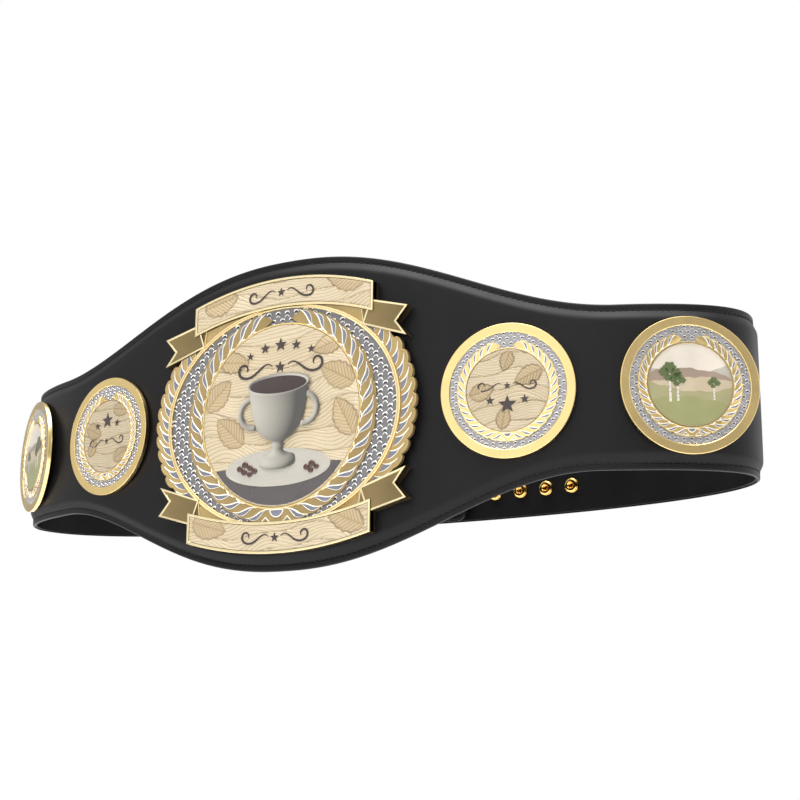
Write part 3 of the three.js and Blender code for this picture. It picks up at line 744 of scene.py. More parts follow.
# Metals: the colour and the share of it, metallic, roughness, the scales of blotches and grit,
# the grit's strength and how far the colour varies
METALS = {
    "polished_gold": ("gold", 1.0, 1.0, 0.2, 60.0, 1500.0, 0.06, 0.08),
    "matt_gold": ("matt_gold", 1.0, 0.8, 0.5, 80.0, 2600.0, 0.25, 0.05),
    "bright_edge_gold": ("bright", 1.0, 1.0, 0.16, 60.0, 1500.0, 0.03, 0.04),
    "white_edge_gold": ("white_gold", 1.0, 0.65, 0.3, 60.0, 1500.0, 0.03, 0.03),
    "laurel_gold": ("matt_gold", 1.3, 0.8, 0.45, 80.0, 2600.0, 0.25, 0.06),
    # The next finish is a dark copy of the matt gold for the banners' side walls: painted shade
    "side_gold": ("matt_gold", 0.3, 0.85, 0.4, 80.0, 2000.0, 0.15, 0.06),
    "tail_gold": ("matt_gold", 0.62, 0.8, 0.45, 60.0, 1500.0, 0.06, 0.08),
    "snap_gold": ("snap", 1.0, 1.0, 0.14, 90.0, 1500.0, 0.04, 0.06),
    "leaf_steel_blue": ("steel_blue", 1.0, 0.35, 0.42, 80.0, 1800.0, 0.15, 0.1),
    "scale_nickel": ("nickel", 1.0, 1.0, 0.22, 120.0, 1500.0, 0.05, 0.06),
    # The next finish is a far darker copy of the field: painted shadow under each scale's hood
    "scale_pocket": ("field", 0.25, 0.5, 0.5, 300.0, 2200.0, 0.3, 0.2),
    "side_field_ground": ("field", 1.6, 0.7, 0.45, 300.0, 2200.0, 0.3, 0.2),
    "field_ground": ("field", 1.0, 0.7, 0.5, 300.0, 2200.0, 0.3, 0.2),
}


def metals(*names):
    """Materials from the table, by their names"""
    made = []
    for name in names:
        key, part, *finish = METALS[name]
        made.append(metal(name, shaded(getattr(colours(), key), part), *finish))
    return made


# A shade under 1 gives a darker copy of the relief gold, used as painted shade
def relief_gold(name="relief_gold", shade=1.0):
    return relief_material(name, shaded(colours().relief, shade), shaded(colours().relief_leaf, shade))


# Strap, lining and seam


def strap_profile(s, half_height, rise):
    """Levels and heights down one half of the strap's face, from the edge to the middle"""
    turn = np.linspace(0, math.pi / 2, 5)
    rows = [(s.edge_round * (np.sin(a) - 1), s.edge_round * (1 - np.cos(a))) for a in turn]
    flange = s.stitch_inset
    groove, depth = 0.75 * MM, 0.55 * MM
    for step, drop in ((-1.6, 0), (-1, 0.05), (-0.5, 0.6), (0, 1), (0.5, 0.6)):
        rows.append((-depth * drop, flange + step * groove))
    for x in (0.06, 0.14, 0.24, 0.36, 0.5, 0.66, 0.82, 1.0):
        swell = math.sin(math.pi / 2 * x) ** 1.25
        rows.append((rise * swell, flange + groove + x * s.shoulder))
    inner = flange + groove + s.shoulder
    for x in (0.12, 0.28, 0.46, 0.64, 0.82, 1.0):
        rows.append((rise + s.crown * (1 - (1 - x) ** 2), inner + x * (half_height - inner)))
    return rows


def loft(name, points):
    """A tube through the points of its cross sections, closed at both ends"""
    rings, count = points.shape[:2]
    faces = []
    for i in range(rings - 1):
        for j in range(count):
            a, b = i * count + j, i * count + (j + 1) % count
            faces.append((a, b, b + count, a + count))
    last = (rings - 1) * count
    faces += [tuple(range(count))[::-1], tuple(range(last, last + count))]
    ob = new_object(name, points.reshape(-1, 3), faces)
    only(ob)
    bpy.ops.object.mode_set(mode="EDIT")
    close_edit()
    return ob


class TITLEBELT_OT_strap(bpy.types.Operator):
    """Lofts the padded leather strap through its cross sections"""

    bl_idname = "title_belt.strap"
    bl_label = "Padded Strap"

    def execute(self, context):
        s, strap = belt(), Strap()
        arcs = strap.arcs(2.8 * MM)
        rises = strap.rise(arcs)
        rings = []
        for top, bottom, rise in zip(strap.edge(arcs, 1), strap.edge(arcs, -1), rises):
            half = strap_profile(s, (top - bottom) / 2, rise)
            upper = [(level, top - inset) for level, inset in half]
            lower = [(level, bottom + inset) for level, inset in reversed(half[:-1])]
            back = [(-s.leather, bottom), (-s.leather, (top + bottom) / 2), (-s.leather, top)]
            rings.append(upper + lower + back)
        rings = np.array(rings)
        levels, heights = rings[..., 0], rings[..., 1]
        columns = [strap.places(arcs, level, height) for level, height in zip(levels.T, heights.T)]
        points = np.stack(columns, axis=1)
        run = arcs[:, None]
        swell = s.swell * np.sin(points[..., 2] / (17 * MM) + 40 * run) * np.sin(31 * run + 0.8)
        swell *= levels > 0.8 * rises[:, None]
        _, _, outward = strap.loop.at(arcs)
        points[..., :2] += outward[:, None, :] * swell[..., None]
        ob = loft("strap_leather", points)
        dress(ob, leather("strap_leather", colours().leather, 0.4, 1100.0, 0.28))
        finish_piece(ob, "strap_leather", None, "strap_leather", "strap")
        return {"FINISHED"}


class TITLEBELT_OT_lining(bpy.types.Operator):
    """Lofts the lining sheet inside the strap"""

    bl_idname = "title_belt.lining"
    bl_label = "Lining"

    def execute(self, context):
        s, strap = belt(), Strap()
        arcs = strap.arcs(4 * MM)
        top = strap.edge(arcs, 1) - s.lining_inset
        bottom = strap.edge(arcs, -1) + s.lining_inset
        inner, outer = -strap.wall, -strap.wall + s.lining
        bevel = 0.35 * MM
        rows = [(outer, 1, 0), (inner + bevel, 1, 0), (inner, 1, -bevel), (inner, 0.7, 0), (inner, 0.3, 0),
                (inner, 0, bevel), (inner + bevel, 0, 0), (outer, 0, 0)]
        columns = [strap.places(arcs, np.full(arcs.shape, level), part * top + (1 - part) * bottom + shift)
                   for level, part, shift in rows]
        ob = loft("lining_sheet", np.stack(columns, axis=1))
        dress(ob, leather("lining_leather", colours().lining, 0.5, 1600.0, 0.16))
        finish_piece(ob, "lining_sheet", None, "lining_leather", "strap_lining")
        return {"FINISHED"}


class TITLEBELT_OT_seam(bpy.types.Operator):
    """Sews the seam: one stitch, copied along both edges and round both ends"""

    bl_idname = "title_belt.seam"
    bl_label = "Seam"

    def execute(self, context):
        s, strap = belt(), Strap()
        deselect()
        bpy.ops.mesh.primitive_uv_sphere_add(segments=8, ring_count=5, radius=1)
        stitch = bpy.context.object
        stitch.data.transform(Matrix.Rotation(math.pi / 2, 4, "Y"))
        half_long, half_wide, half_thick = 1.45 * MM, 0.42 * MM, 0.36 * MM
        stitch.data.transform(Matrix.Diagonal((half_long, half_wide, half_thick, 1)))
        places = []
        sunk, raised = -0.22 * MM, 0.12 * MM
        inset = s.stitch_inset
        count = round((strap.stop - strap.start - 2 * inset) / s.stitch_pitch)
        arcs = np.linspace(strap.start + inset, strap.stop - inset, count)
        _, along, outward = strap.loop.at(arcs)
        for side in (1, -1):
            heights = strap.edge(arcs, side) - side * inset
            slopes = np.gradient(heights, arcs)
            middles = strap.places(arcs, np.full(arcs.shape, sunk), heights)
            for middle, run, out, slope in zip(middles, along, outward, slopes):
                x = Vector((run[0], run[1], slope)).normalized()
                z = Vector((out[0], out[1], 0))
                places.append(self.matrix(middle, x, z))
        for end in (strap.start + inset, strap.stop - inset):
            top, bottom = (float(strap.edge(np.array([end]), side)[0]) for side in (1, -1))
            clear = inset + s.stitch_pitch
            stitches = round((top - bottom - 2 * clear) / s.stitch_pitch) + 1
            rows = np.linspace(bottom + clear, top - clear, stitches)
            arc = np.full(rows.shape, end)
            middles = strap.places(arc, strap.rise(arc) + raised, rows)
            _, _, out = strap.loop.at(end)
            for middle in middles:
                places.append(self.matrix(middle, Vector((0, 0, 1)), Vector((out[0], out[1], 0))))
        ob = copies("seam_stitches", stitch, places)
        drop_object(stitch)
        dress(ob, leather("seam_thread", colours().thread, 0.6, 3000.0, 0.3))
        finish_piece(ob, "seam_stitches", None, "strap_leather")
        return {"FINISHED"}

    def matrix(self, middle, x, z):
        y = z.cross(x).normalized()
        return axes_matrix(x, y, x.cross(y), Vector(middle))


# Snaps and screws


class TITLEBELT_OT_snaps(bpy.types.Operator):
    """Turns one socket and one stud, and sets a copy in each hole"""

    bl_idname = "title_belt.snaps"
    bl_label = "Snaps"

    def execute(self, context):
        s, c, strap = belt(), closure(), Strap()
        cap_seat = s.flat + s.crown + s.seat_gap
        seat = -strap.wall - s.seat_gap
        mouth = seat - c.socket_height
        bulge = 0.35 * c.socket_height
        socket = turned("snap_pattern", [
            (c.socket_bore * 0.45, mouth + 1.5 * MM), (c.socket_bore * 0.8, mouth + 2.4 * MM),
            (c.socket_bore, mouth + 2.2 * MM), (c.socket_bore * 0.92, mouth + 0.9 * MM),
            (c.socket_bore * 1.15, mouth + 0.15 * MM), (c.socket_radius * 0.66, mouth),
            (c.socket_radius * 0.86, mouth + 0.3 * MM), (c.socket_radius * 0.98, mouth + 0.6 * bulge),
            (c.socket_radius, mouth + bulge), (c.socket_radius * 0.95, mouth + 1.7 * bulge),
            (c.socket_radius * 0.9, mouth + 1.9 * bulge), (c.socket_radius, mouth + 2.1 * bulge),
            (c.socket_radius, seat), (c.rivet_radius, seat), (c.rivet_radius, cap_seat),
            (c.cap_radius * 0.97, cap_seat), (c.cap_radius, cap_seat + 0.25 * c.cap_rise),
            (c.cap_radius * 0.88, cap_seat + 0.55 * c.cap_rise),
            (c.cap_radius * 0.62, cap_seat + 0.84 * c.cap_rise),
            (c.cap_radius * 0.3, cap_seat + 0.98 * c.cap_rise), (c.cap_radius * 0.08, cap_seat + c.cap_rise),
        ], 40)
        stud_seat = -strap.tuck_depth + cap_seat
        flange = stud_seat + 0.5 * MM
        cap = -strap.tuck_depth - strap.wall - s.seat_gap
        wide, foot = 5 * MM, 4.2 * MM
        stud = turned("stud_pattern", [
            (0.1 * wide, cap - 1.2 * MM), (0.62 * wide, cap - 0.95 * MM), (0.92 * wide, cap - 0.4 * MM),
            (wide, cap), (c.rivet_radius, cap), (c.rivet_radius, stud_seat), (foot, stud_seat), (foot, flange),
            (c.stud_radius * 0.78, flange), (c.stud_radius, flange + 1.2 * MM),
            (c.stud_radius * 0.78, flange + 1.9 * MM), (0.3 * MM, flange + 2.1 * MM),
        ], 32)
        for word, side in SNAP_ROWS.items():
            for column in range(c.sockets):
                self.set_copy(socket, strap, column, side, f"snap_socket_{word}_{column + 1}")
            for column in range(c.studs):
                self.set_copy(stud, strap, c.first_engaged + column, side, f"snap_stud_{word}_{column + 1}")
        drop_object(socket)
        drop_object(stud)
        return {"FINISHED"}

    def set_copy(self, pattern, strap, column, side, node):
        """Sets a copy of a snap's half in its hole"""
        c = closure()
        arc = strap.loop.back - (c.first_socket - column * c.pitch)
        ends, _, _ = strap.loop.at(np.array([arc - c.pitch / 2, arc + c.pitch / 2]))
        run = Vector((*(ends[1] - ends[0]), 0)).normalized()
        out = Vector((run.y, -run.x, 0))
        middle = Vector((*(ends[0] + ends[1]) / 2, side * c.row_height))
        ob = copies(node + "_gold", pattern, [axes_matrix(run, Vector((0, 0, 1)), out, middle)])
        dress(ob, *metals("snap_gold"))
        finish_piece(ob, node + "_gold", None, "snap_gold", node)


class TITLEBELT_OT_screws(bpy.types.Operator):
    """Gives the hidden plate screws slotted heads"""

    bl_idname = "title_belt.screws"
    bl_label = "Plate Screws"

    def execute(self, context):
        center = plate_frame("center_plate", 0.0)
        places = {"center_screw_top": center, "center_screw_bottom": center}
        places.update({side + "_screw": side_frame(side) for side in SIDES})
        for node, matrix in places.items():
            inverse = matrix.inverted()
            local = [inverse @ v.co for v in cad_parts[node].data.vertices]
            low = min(v.z for v in local)
            high = max(v.z for v in local)
            middle = sum(v.y for v in local) / len(local)
            head, rim, shank = 1.3 * MM, 5.5 * MM, 2.4 * MM
            screw = turned(node, [
                (rim - 0.9 * MM, low), (rim - 0.2 * MM, low + 0.25 * MM), (rim, low + 0.6 * MM),
                (rim, low + head), (shank, low + head), (shank, high),
            ], 36)
            select_faces(screw, lambda c, n: n.z < -0.9 and c.z < low + NEAR)
            bpy.ops.mesh.inset(thickness=1.2 * MM, depth=0)
            extrude(0.5 * MM)
            bpy.ops.object.mode_set(mode="OBJECT")
            screw.data.transform(Matrix.Translation((0, middle, 0)))
            dress(screw, *metals("snap_gold"))
            finish_piece(screw, node + "_gold", matrix, "snap_gold", node)
        return {"FINISHED"}


# Scales, leaves and wreaths

CENTER_SCALE, SIDE_SCALE = 0.93, 0.6
SINK = -0.1 * MM


def scale_pattern(size, metal_slot, shadow_slot):
    """One scale: a bold flat hood over a flat dark patch of painted shadow, and a thin pointed arc below"""
    unit = size * MM
    outer, inner, rise = 2.35 * unit, 1.4 * unit, 0.5 * unit
    turns = [math.radians(a) for a in range(-6, 187, 24)]
    hood = [(outer * math.cos(t), 0.85 * outer * math.sin(t)) for t in turns]
    hood += [(inner * math.cos(t), 0.7 * inner * math.sin(t) - 0.1 * unit) for t in reversed(turns)]
    tip = [(-2.3, -3.3), (-1.3, -1.9), (0, -1.1), (1.3, -1.9), (2.3, -3.3),
           (1.8, -3.45), (0.95, -2.4), (0, -1.75), (-0.95, -2.4), (-1.8, -3.45)]
    # Painted shadow: a thin dark patch laid just under the hood
    shadow_patch = [(-1.5, -0.2), (-0.8, -0.75), (0, -0.3), (0.8, -0.75), (1.5, -0.2), (0.8, 0.8), (-0.8, 0.8)]
    tip, shadow_patch = ([(x * unit, y * unit) for x, y in shape] for shape in (tip[::-1], shadow_patch))
    return join("scale_pattern", [
        soften(plaque("scale_hood", hood, SINK, rise, metal_slot), 0.22 * unit, 1),
        soften(plaque("scale_tip", tip, SINK, 0.75 * rise, metal_slot), 0.14 * unit, 1),
        plaque("scale_pocket", shadow_patch, SINK, 0.04 * MM, shadow_slot),
    ])


def scale_places(inside, half_width, half_height, level, size):
    """Places in a staggered grid of scales, where the test says inside"""
    pitch_x, pitch_y = 8.2 * size * MM, 5.8 * size * MM
    rows = int(half_height / pitch_y) + 2
    columns = int(half_width / pitch_x) + 2
    places = []
    for row in range(-rows, rows + 1):
        shift = 0.5 * pitch_x if row % 2 else 0.0
        for column in range(-columns, columns + 1):
            x, y = column * pitch_x + shift, row * pitch_y
            if inside(x, y):
                places.append(Matrix.Translation((x, y, level)))
    return places


def stroke(name, middle, halves, base, top, slot):
    """A raised line along given points, each with its own half width"""
    left, right = [], []
    count = len(middle)
    for i, ((x, y), half) in enumerate(zip(middle, halves)):
        ax, ay = middle[max(i - 1, 0)]
        bx, by = middle[min(i + 1, count - 1)]
        run = math.hypot(bx - ax, by - ay)
        nx, ny = -(by - ay) / run * half, (bx - ax) / run * half
        left.append((x + nx, y + ny))
        right.append((x - nx, y - ny))
    return plaque(name, right + left[::-1], base, top, slot)


def bent(start, bend, stop):
    """A plain curve from start to stop, drawn towards the bend"""
    def place(t):
        u = 1 - t
        return tuple((u * u * a + 2 * u * t * b + t * t * c) * MM for a, b, c in zip(start, bend, stop))
    return place


def leaf_pattern(ridge, belly, blade, rise, line):
    """A leaf of a bold ridge and a thin belly line in slot 1, and between them the blade in slot 2"""
    steps = 14
    base = -0.3 * MM
    shares = [i / steps for i in range(steps + 1)]
    halves = [line / 2 * (0.3 + 0.7 * math.sin(math.pi * t) ** 0.5) for t in shares]
    parts = [soften(stroke("leaf_ridge", [ridge(t) for t in shares], halves, base, rise, 1), 0.28 * line, 1)]
    if belly:
        edge = [belly(u) for u in shares]
        thin = stroke("leaf_edge", edge, [0.42 * h for h in halves], base, 0.7 * rise, 1)
        start, stop = blade
        upper = [ridge(start + (stop - start) * u) for u in shares]
        parts.append(soften(thin, 0.1 * line, 1))
        parts.append(plaque("leaf_blade", edge + upper[::-1][1:-1], base, 0.1 * rise, 2))
    return join("leaf_pattern", parts)


def wreath_leaf(length_mm, width_mm, rise, line):
    """A leaf bent like an S, its blade under the ridge"""
    start, stop = 0.16, 0.9

    def ridge(t):
        return length_mm * t * MM, 0.045 * length_mm * math.sin(2 * math.pi * t) * MM

    def belly(u):
        x, y = ridge(start + (stop - start) * u)
        return x, y - width_mm * math.sin(math.pi * u) * MM

    return leaf_pattern(ridge, belly, (start, stop), rise, line)


def bordered(ob, rim, depth, bevel):
    """A raised rounded border in slot 1 round a sunk face in slot 0"""
    top = max(v.co.z for v in ob.data.vertices)
    paint(ob, 1)
    sink_top(ob, rim, depth, 0)
    soften(ob, bevel, 2)
    paint(ob, 0, lambda c, n: n.z > 0.9 and abs(c.z - top + depth) < NEAR)
    return ob


def polar(radius_x, radius_y, turn, lean, level, drop, mirror):
    """A place on an ellipse whose X axis points up along it, leaning outwards by an angle"""
    x, y = ellipse_point(radius_x, radius_y, turn, drop)
    matrix = Matrix.Translation((x, y, level)) @ Matrix.Rotation(turn + math.pi / 2 - lean, 4, "Z")
    return (Matrix.Diagonal((-1, 1, 1, 1)) @ matrix) if mirror else matrix


def scallops(half_width, half_height, cuts, start, step, leaves, drop):
    """Leaf tips along an ellipse; the cuts say how deep the outline is at each share of a leaf"""
    return [ellipse_point(half_width - cut, half_height - cut, start + (i + along) * step, drop)
            for i in range(leaves) for along, cut in cuts]


def wreath_outline(inner, outer_x, outer_y, opening, leaves, notch, drop):
    """An open wreath's outline: scalloped outside, round inside, with a gap at the top"""
    foot, tip = -math.pi / 2, math.pi / 2 - opening
    step = (tip - foot) / leaves
    curve = ((0.0, 1.0), (0.12, 0.5), (0.3, 0.15), (0.52, 0.0), (0.74, 0.05), (0.9, 0.3))
    cuts = [(along, notch * depth) for along, depth in curve]
    branch = scallops(outer_x, outer_y, cuts, foot, step, leaves, drop)
    point_share = 0.42
    point_x, point_y = (inner + point_share * (outer - inner) for outer in (outer_x, outer_y))
    branch.append(ellipse_point(point_x, point_y, tip + 0.5 * opening, drop))
    start = tip - step / 4
    count = 72
    sweep = 2 * start + math.pi
    stem = [ellipse_point(inner, inner, start - sweep * i / count, drop) for i in range(count + 1)]
    return branch + stem + mirrored(branch)[:-1]


def raised_ring(name, half_width, half_height, width, base, top, drop, slot, sides=128):
    """A flat ring: a filled ellipse inset on both faces, with the two inner faces bridged"""
    ring = plaque(name, ellipse(half_width, half_height, sides, drop), base, top, slot)
    select_faces(ring, lambda c, n: abs(n.z) > 0.9)
    bpy.ops.mesh.inset(thickness=width, depth=0)
    bpy.ops.mesh.bridge_edge_loops()
    bpy.ops.object.mode_set(mode="OBJECT")
    return ring


def half_disc(radius, x, y, steps=20):
    turns = [math.pi * (1 + i / steps) for i in range(steps + 1)]
    return [(x + radius * math.cos(t), y + radius * math.sin(t)) for t in turns]


# Where a leaf and a barb start, as shares of the wreath's width, and how a barb follows its leaf
LEAF_FOOT, BARB_FOOT, BARB_DELAY, BARB_LEAN = 0.12, 0.2, 0.3, -18
BARB_SHARE = 0.24


def build_wreath(name, sizes, ground):
    """A wreath band with a bright border, two rows of leaves on it, its inner ring and its knot"""
    inner, outer_x, outer_y = sizes["inner"], sizes["outer_x"], sizes["outer_y"]
    top, drop, rise, line = sizes["top"], sizes["drop"], sizes["leaf_rise"], sizes["leaf_line"]
    outline = wreath_outline(inner, outer_x, outer_y, sizes["opening"], sizes["leaves"], sizes["notch"], drop)
    band = plaque(name, outline, sizes["base"], top)
    sink_top(band, sizes["border"], 0.4 * rise, 0)
    soften(band, 0.3 * sizes["border"], 2)
    floor = top - 0.4 * rise
    step = (math.pi - sizes["opening"]) / sizes["leaves"]
    long_mm, wide_mm = sizes["leaf_length"], sizes["leaf_width"]
    outer_leaf = wreath_leaf(long_mm, wide_mm, rise, line)
    barb_mm = BARB_SHARE * long_mm
    barb = bent((0, 0), (0.5 * barb_mm, -barb_mm / 24), (barb_mm, 0))
    inner_leaf = leaf_pattern(barb, None, None, 1.4 * rise, line)
    width, tall = outer_x - inner, outer_y - inner
    outer_places, inner_places = [], []
    for i in range(sizes["leaves"]):
        turn = -math.pi / 2 + (i + sizes["first"]) * step
        rows = ((outer_places, LEAF_FOOT, turn, sizes["lean"]),
                (inner_places, BARB_FOOT, turn + BARB_DELAY * step, BARB_LEAN))
        for mirror in (False, True):
            for places, part, foot_turn, lean in rows:
                places.append(polar(inner + part * width, inner + part * tall, foot_turn, math.radians(lean),
                                    floor, drop, mirror))
    parts = [band, copies("outer_leaves", outer_leaf, outer_places[:-2]),
             copies("inner_leaves", inner_leaf, inner_places[4:-2])]
    drop_object(outer_leaf)
    drop_object(inner_leaf)
    reach = inner + sizes["ring"]
    ring = raised_ring("wreath_ring", reach, reach, sizes["ring"], floor - 0.1 * MM, top + 0.6 * rise, drop, 3)
    parts.append(soften(ring, 0.25 * sizes["ring"], 2))
    knot_top = top + 0.5 * rise
    foot = -reach - drop
    knot = plaque("wreath_knot", half_disc(0.43 * width, 0, foot), floor, knot_top, 1)
    parts.append(sink_top(knot, 0.9 * line, 0.6 * rise, 2))
    for side in (-1, 1):
        x, y = side * 0.66 * width, foot - 0.42 * width
        half, low, high = 0.4 * width, y - 0.34 * width, y + 0.06 * width
        corners = [(x - half, low), (x + half, low), (x, high)]
        gem = plaque("wreath_gem", corners, floor, knot_top, 1)
        parts.append(sink_top(gem, 0.8 * line, 0.6 * rise, 0))
    return dress(join(name, parts), ground, *metals("white_edge_gold", "leaf_steel_blue", "polished_gold"))


# Low relief: layered contour bands with leaves lying on them


def relief_field(x, y, spec):
    """Height, line phase, leaf share and painted groove shade at each place, from the spec's few numbers"""
    sway, wave, start = spec["sway"], spec["wave"], spec["start"]
    flow = y + sway * np.sin(x / wave + start)
    flow += 0.4 * sway * np.sin((x + 0.6 * y) / (0.43 * wave) + 2.1 * start)
    bands = flow / spec["band"]
    layer = np.floor(bands)
    into = bands - layer
    rise = spec["rise"]
    height = rise * (0.35 + 0.65 * smooth_step(into * 6) - 0.4 * into)
    bowed = flow + 2.6 * MM * np.sin(x / (9 * MM) + 1.7 * layer) + 1.4 * MM * np.sin(y / (6 * MM) + 2.3 * layer)
    phase = 2 * math.pi * bowed / spec["line"]
    leaf_share = 0.12 * np.mod(layer, 3)
    # Painted shade: the groove at the foot of each step, and along the leaves' edges and midribs, is cut lower
    # and painted darker
    crease = np.exp(-(into * spec["band"] / (0.55 * MM)) ** 2)
    for px, py, angle, long, wide in spec["leaves"]:
        a = math.radians(angle)
        dx, dy = x - px * MM, y - py * MM
        along = (dx * math.cos(a) + dy * math.sin(a)) / (long * MM)
        across = (-dx * math.sin(a) + dy * math.cos(a)) / (wide * MM / 2)
        t = np.clip(along, 0, 1)
        outline = np.sin(math.pi * t ** 0.8) ** 0.8 * (1 + 0.06 * np.sin(34 * t))
        edge = np.where(outline > 0.02, np.abs(across) / np.maximum(outline, 0.02), 9)
        inside = (along > 0) & (along < 1) & (edge < 1)
        groove = 0.35 * np.exp(-(across / 0.09) ** 2)
        body = rise * (0.8 + 0.5 * (1 - np.clip(edge, 0, 1) ** 2) - groove)
        height = np.where(inside, body, height)
        veins = 2 * math.pi * (along * long - 0.9 * np.abs(across) * wide / 2) * MM / (1.25 * spec["line"])
        phase = np.where(inside, veins, phase)
        leaf_share = np.where(inside, 1.0, leaf_share)
        near = np.exp(-((edge - 1.03) * np.maximum(outline, 0.15) * wide / 2 / 0.5) ** 2)
        midrib = np.exp(-(across * wide / 2 / 0.4) ** 2)
        on_leaf = (along > -0.02) & (along < 1.02)
        crease = np.where(inside, 0.7 * midrib, crease)
        crease = np.where(on_leaf, np.maximum(crease, near), crease)
    return height - 0.3 * rise * crease, phase, leaf_share, crease


def relief_sheet(name, columns, rows, place, base, level, spec):
    """A fine grid bent onto its outline, raised into low relief and closed by a skirt and a back"""
    deselect()
    bpy.ops.mesh.primitive_grid_add(x_subdivisions=columns, y_subdivisions=rows, size=2)
    ob = bpy.context.object
    ob.name = name
    mesh = ob.data
    raw = np.empty(len(mesh.vertices) * 3)
    mesh.vertices.foreach_get("co", raw)
    raw = raw.reshape(-1, 3)
    x, y = place(raw[:, 0], raw[:, 1])
    height, phase, leaf_share, crease = relief_field(x, y, spec)
    rim = np.maximum(np.abs(raw[:, 0]), np.abs(raw[:, 1]))
    height = height * smooth_step((1 - rim) * spec["calm"])
    mesh.vertices.foreach_set("co", np.stack([x, y, level + height], axis=1).ravel())
    for attribute, values in (("line_phase", phase), ("leaf_share", leaf_share), ("crease", crease)):
        mesh.attributes.new(attribute, "FLOAT", "POINT").data.foreach_set("value", values)
    only(ob)
    bpy.context.tool_settings.mesh_select_mode = (False, True, False)
    bpy.ops.object.mode_set(mode="EDIT")
    bpy.ops.mesh.select_all(action="DESELECT")
    bpy.ops.mesh.select_non_manifold()
    extrude(base - level)
    bpy.ops.mesh.edge_face_add()
    close_edit()
    return ob


def disc_place(radius, drop):
    def place(gx, gy):
        x = radius * gx * np.sqrt(1 - gy**2 / 2)
        y = radius * gy * np.sqrt(1 - gx**2 / 2) - drop
        return x, y
    return place


SMALL_RELIEF = {"sway": 2.6 * MM, "wave": 13 * MM, "band": 11 * MM, "rise": 0.34 * MM, "line": 1.9 * MM,
                "calm": 14}
# Leaves of the side medallions: place, angle, length and width in mm
INNER_LEAVES = {
    "left_inner": [(-24, 9, -25, 19, 12), (6, 20, -8, 20, 10), (9, -19, 24, 17, 10), (-20, -14, 62, 15, 9)],
    "right_inner": [(23, 13, 205, 20, 12), (-25, -3, 18, 17, 11), (-4, -26, 80, 16, 9), (2, 26, 250, 14, 9)],
}
# Landscape layers, from the back: heights of the ridge at the left, middle and right as
# shares of the radius, and which colour it has
LANDSCAPE = [
    {"ridge": (0.42, 0.30, 0.50), "tint": "haze"},
    {"ridge": (0.26, 0.38, 0.16), "tint": "stone"},
    {"ridge": (0.02, 0.18, 0.10), "tint": "straw"},
    {"ridge": (0.08, -0.16, -0.06), "tint": "meadow"},
    {"ridge": (-0.42, -0.30, -0.52), "tint": "moss"},
]
LANDSCAPE_TINTS = {
    "sky": (0.60, 0.54, 0.46), "haze": (0.38, 0.35, 0.30), "stone": (0.28, 0.21, 0.16),
    "straw": (0.44, 0.36, 0.25), "meadow": (0.29, 0.27, 0.14), "moss": (0.25, 0.25, 0.11),
    "bark": (0.60, 0.56, 0.50), "mark": (0.02, 0.018, 0.02), "leaf": (0.085, 0.115, 0.04),
}


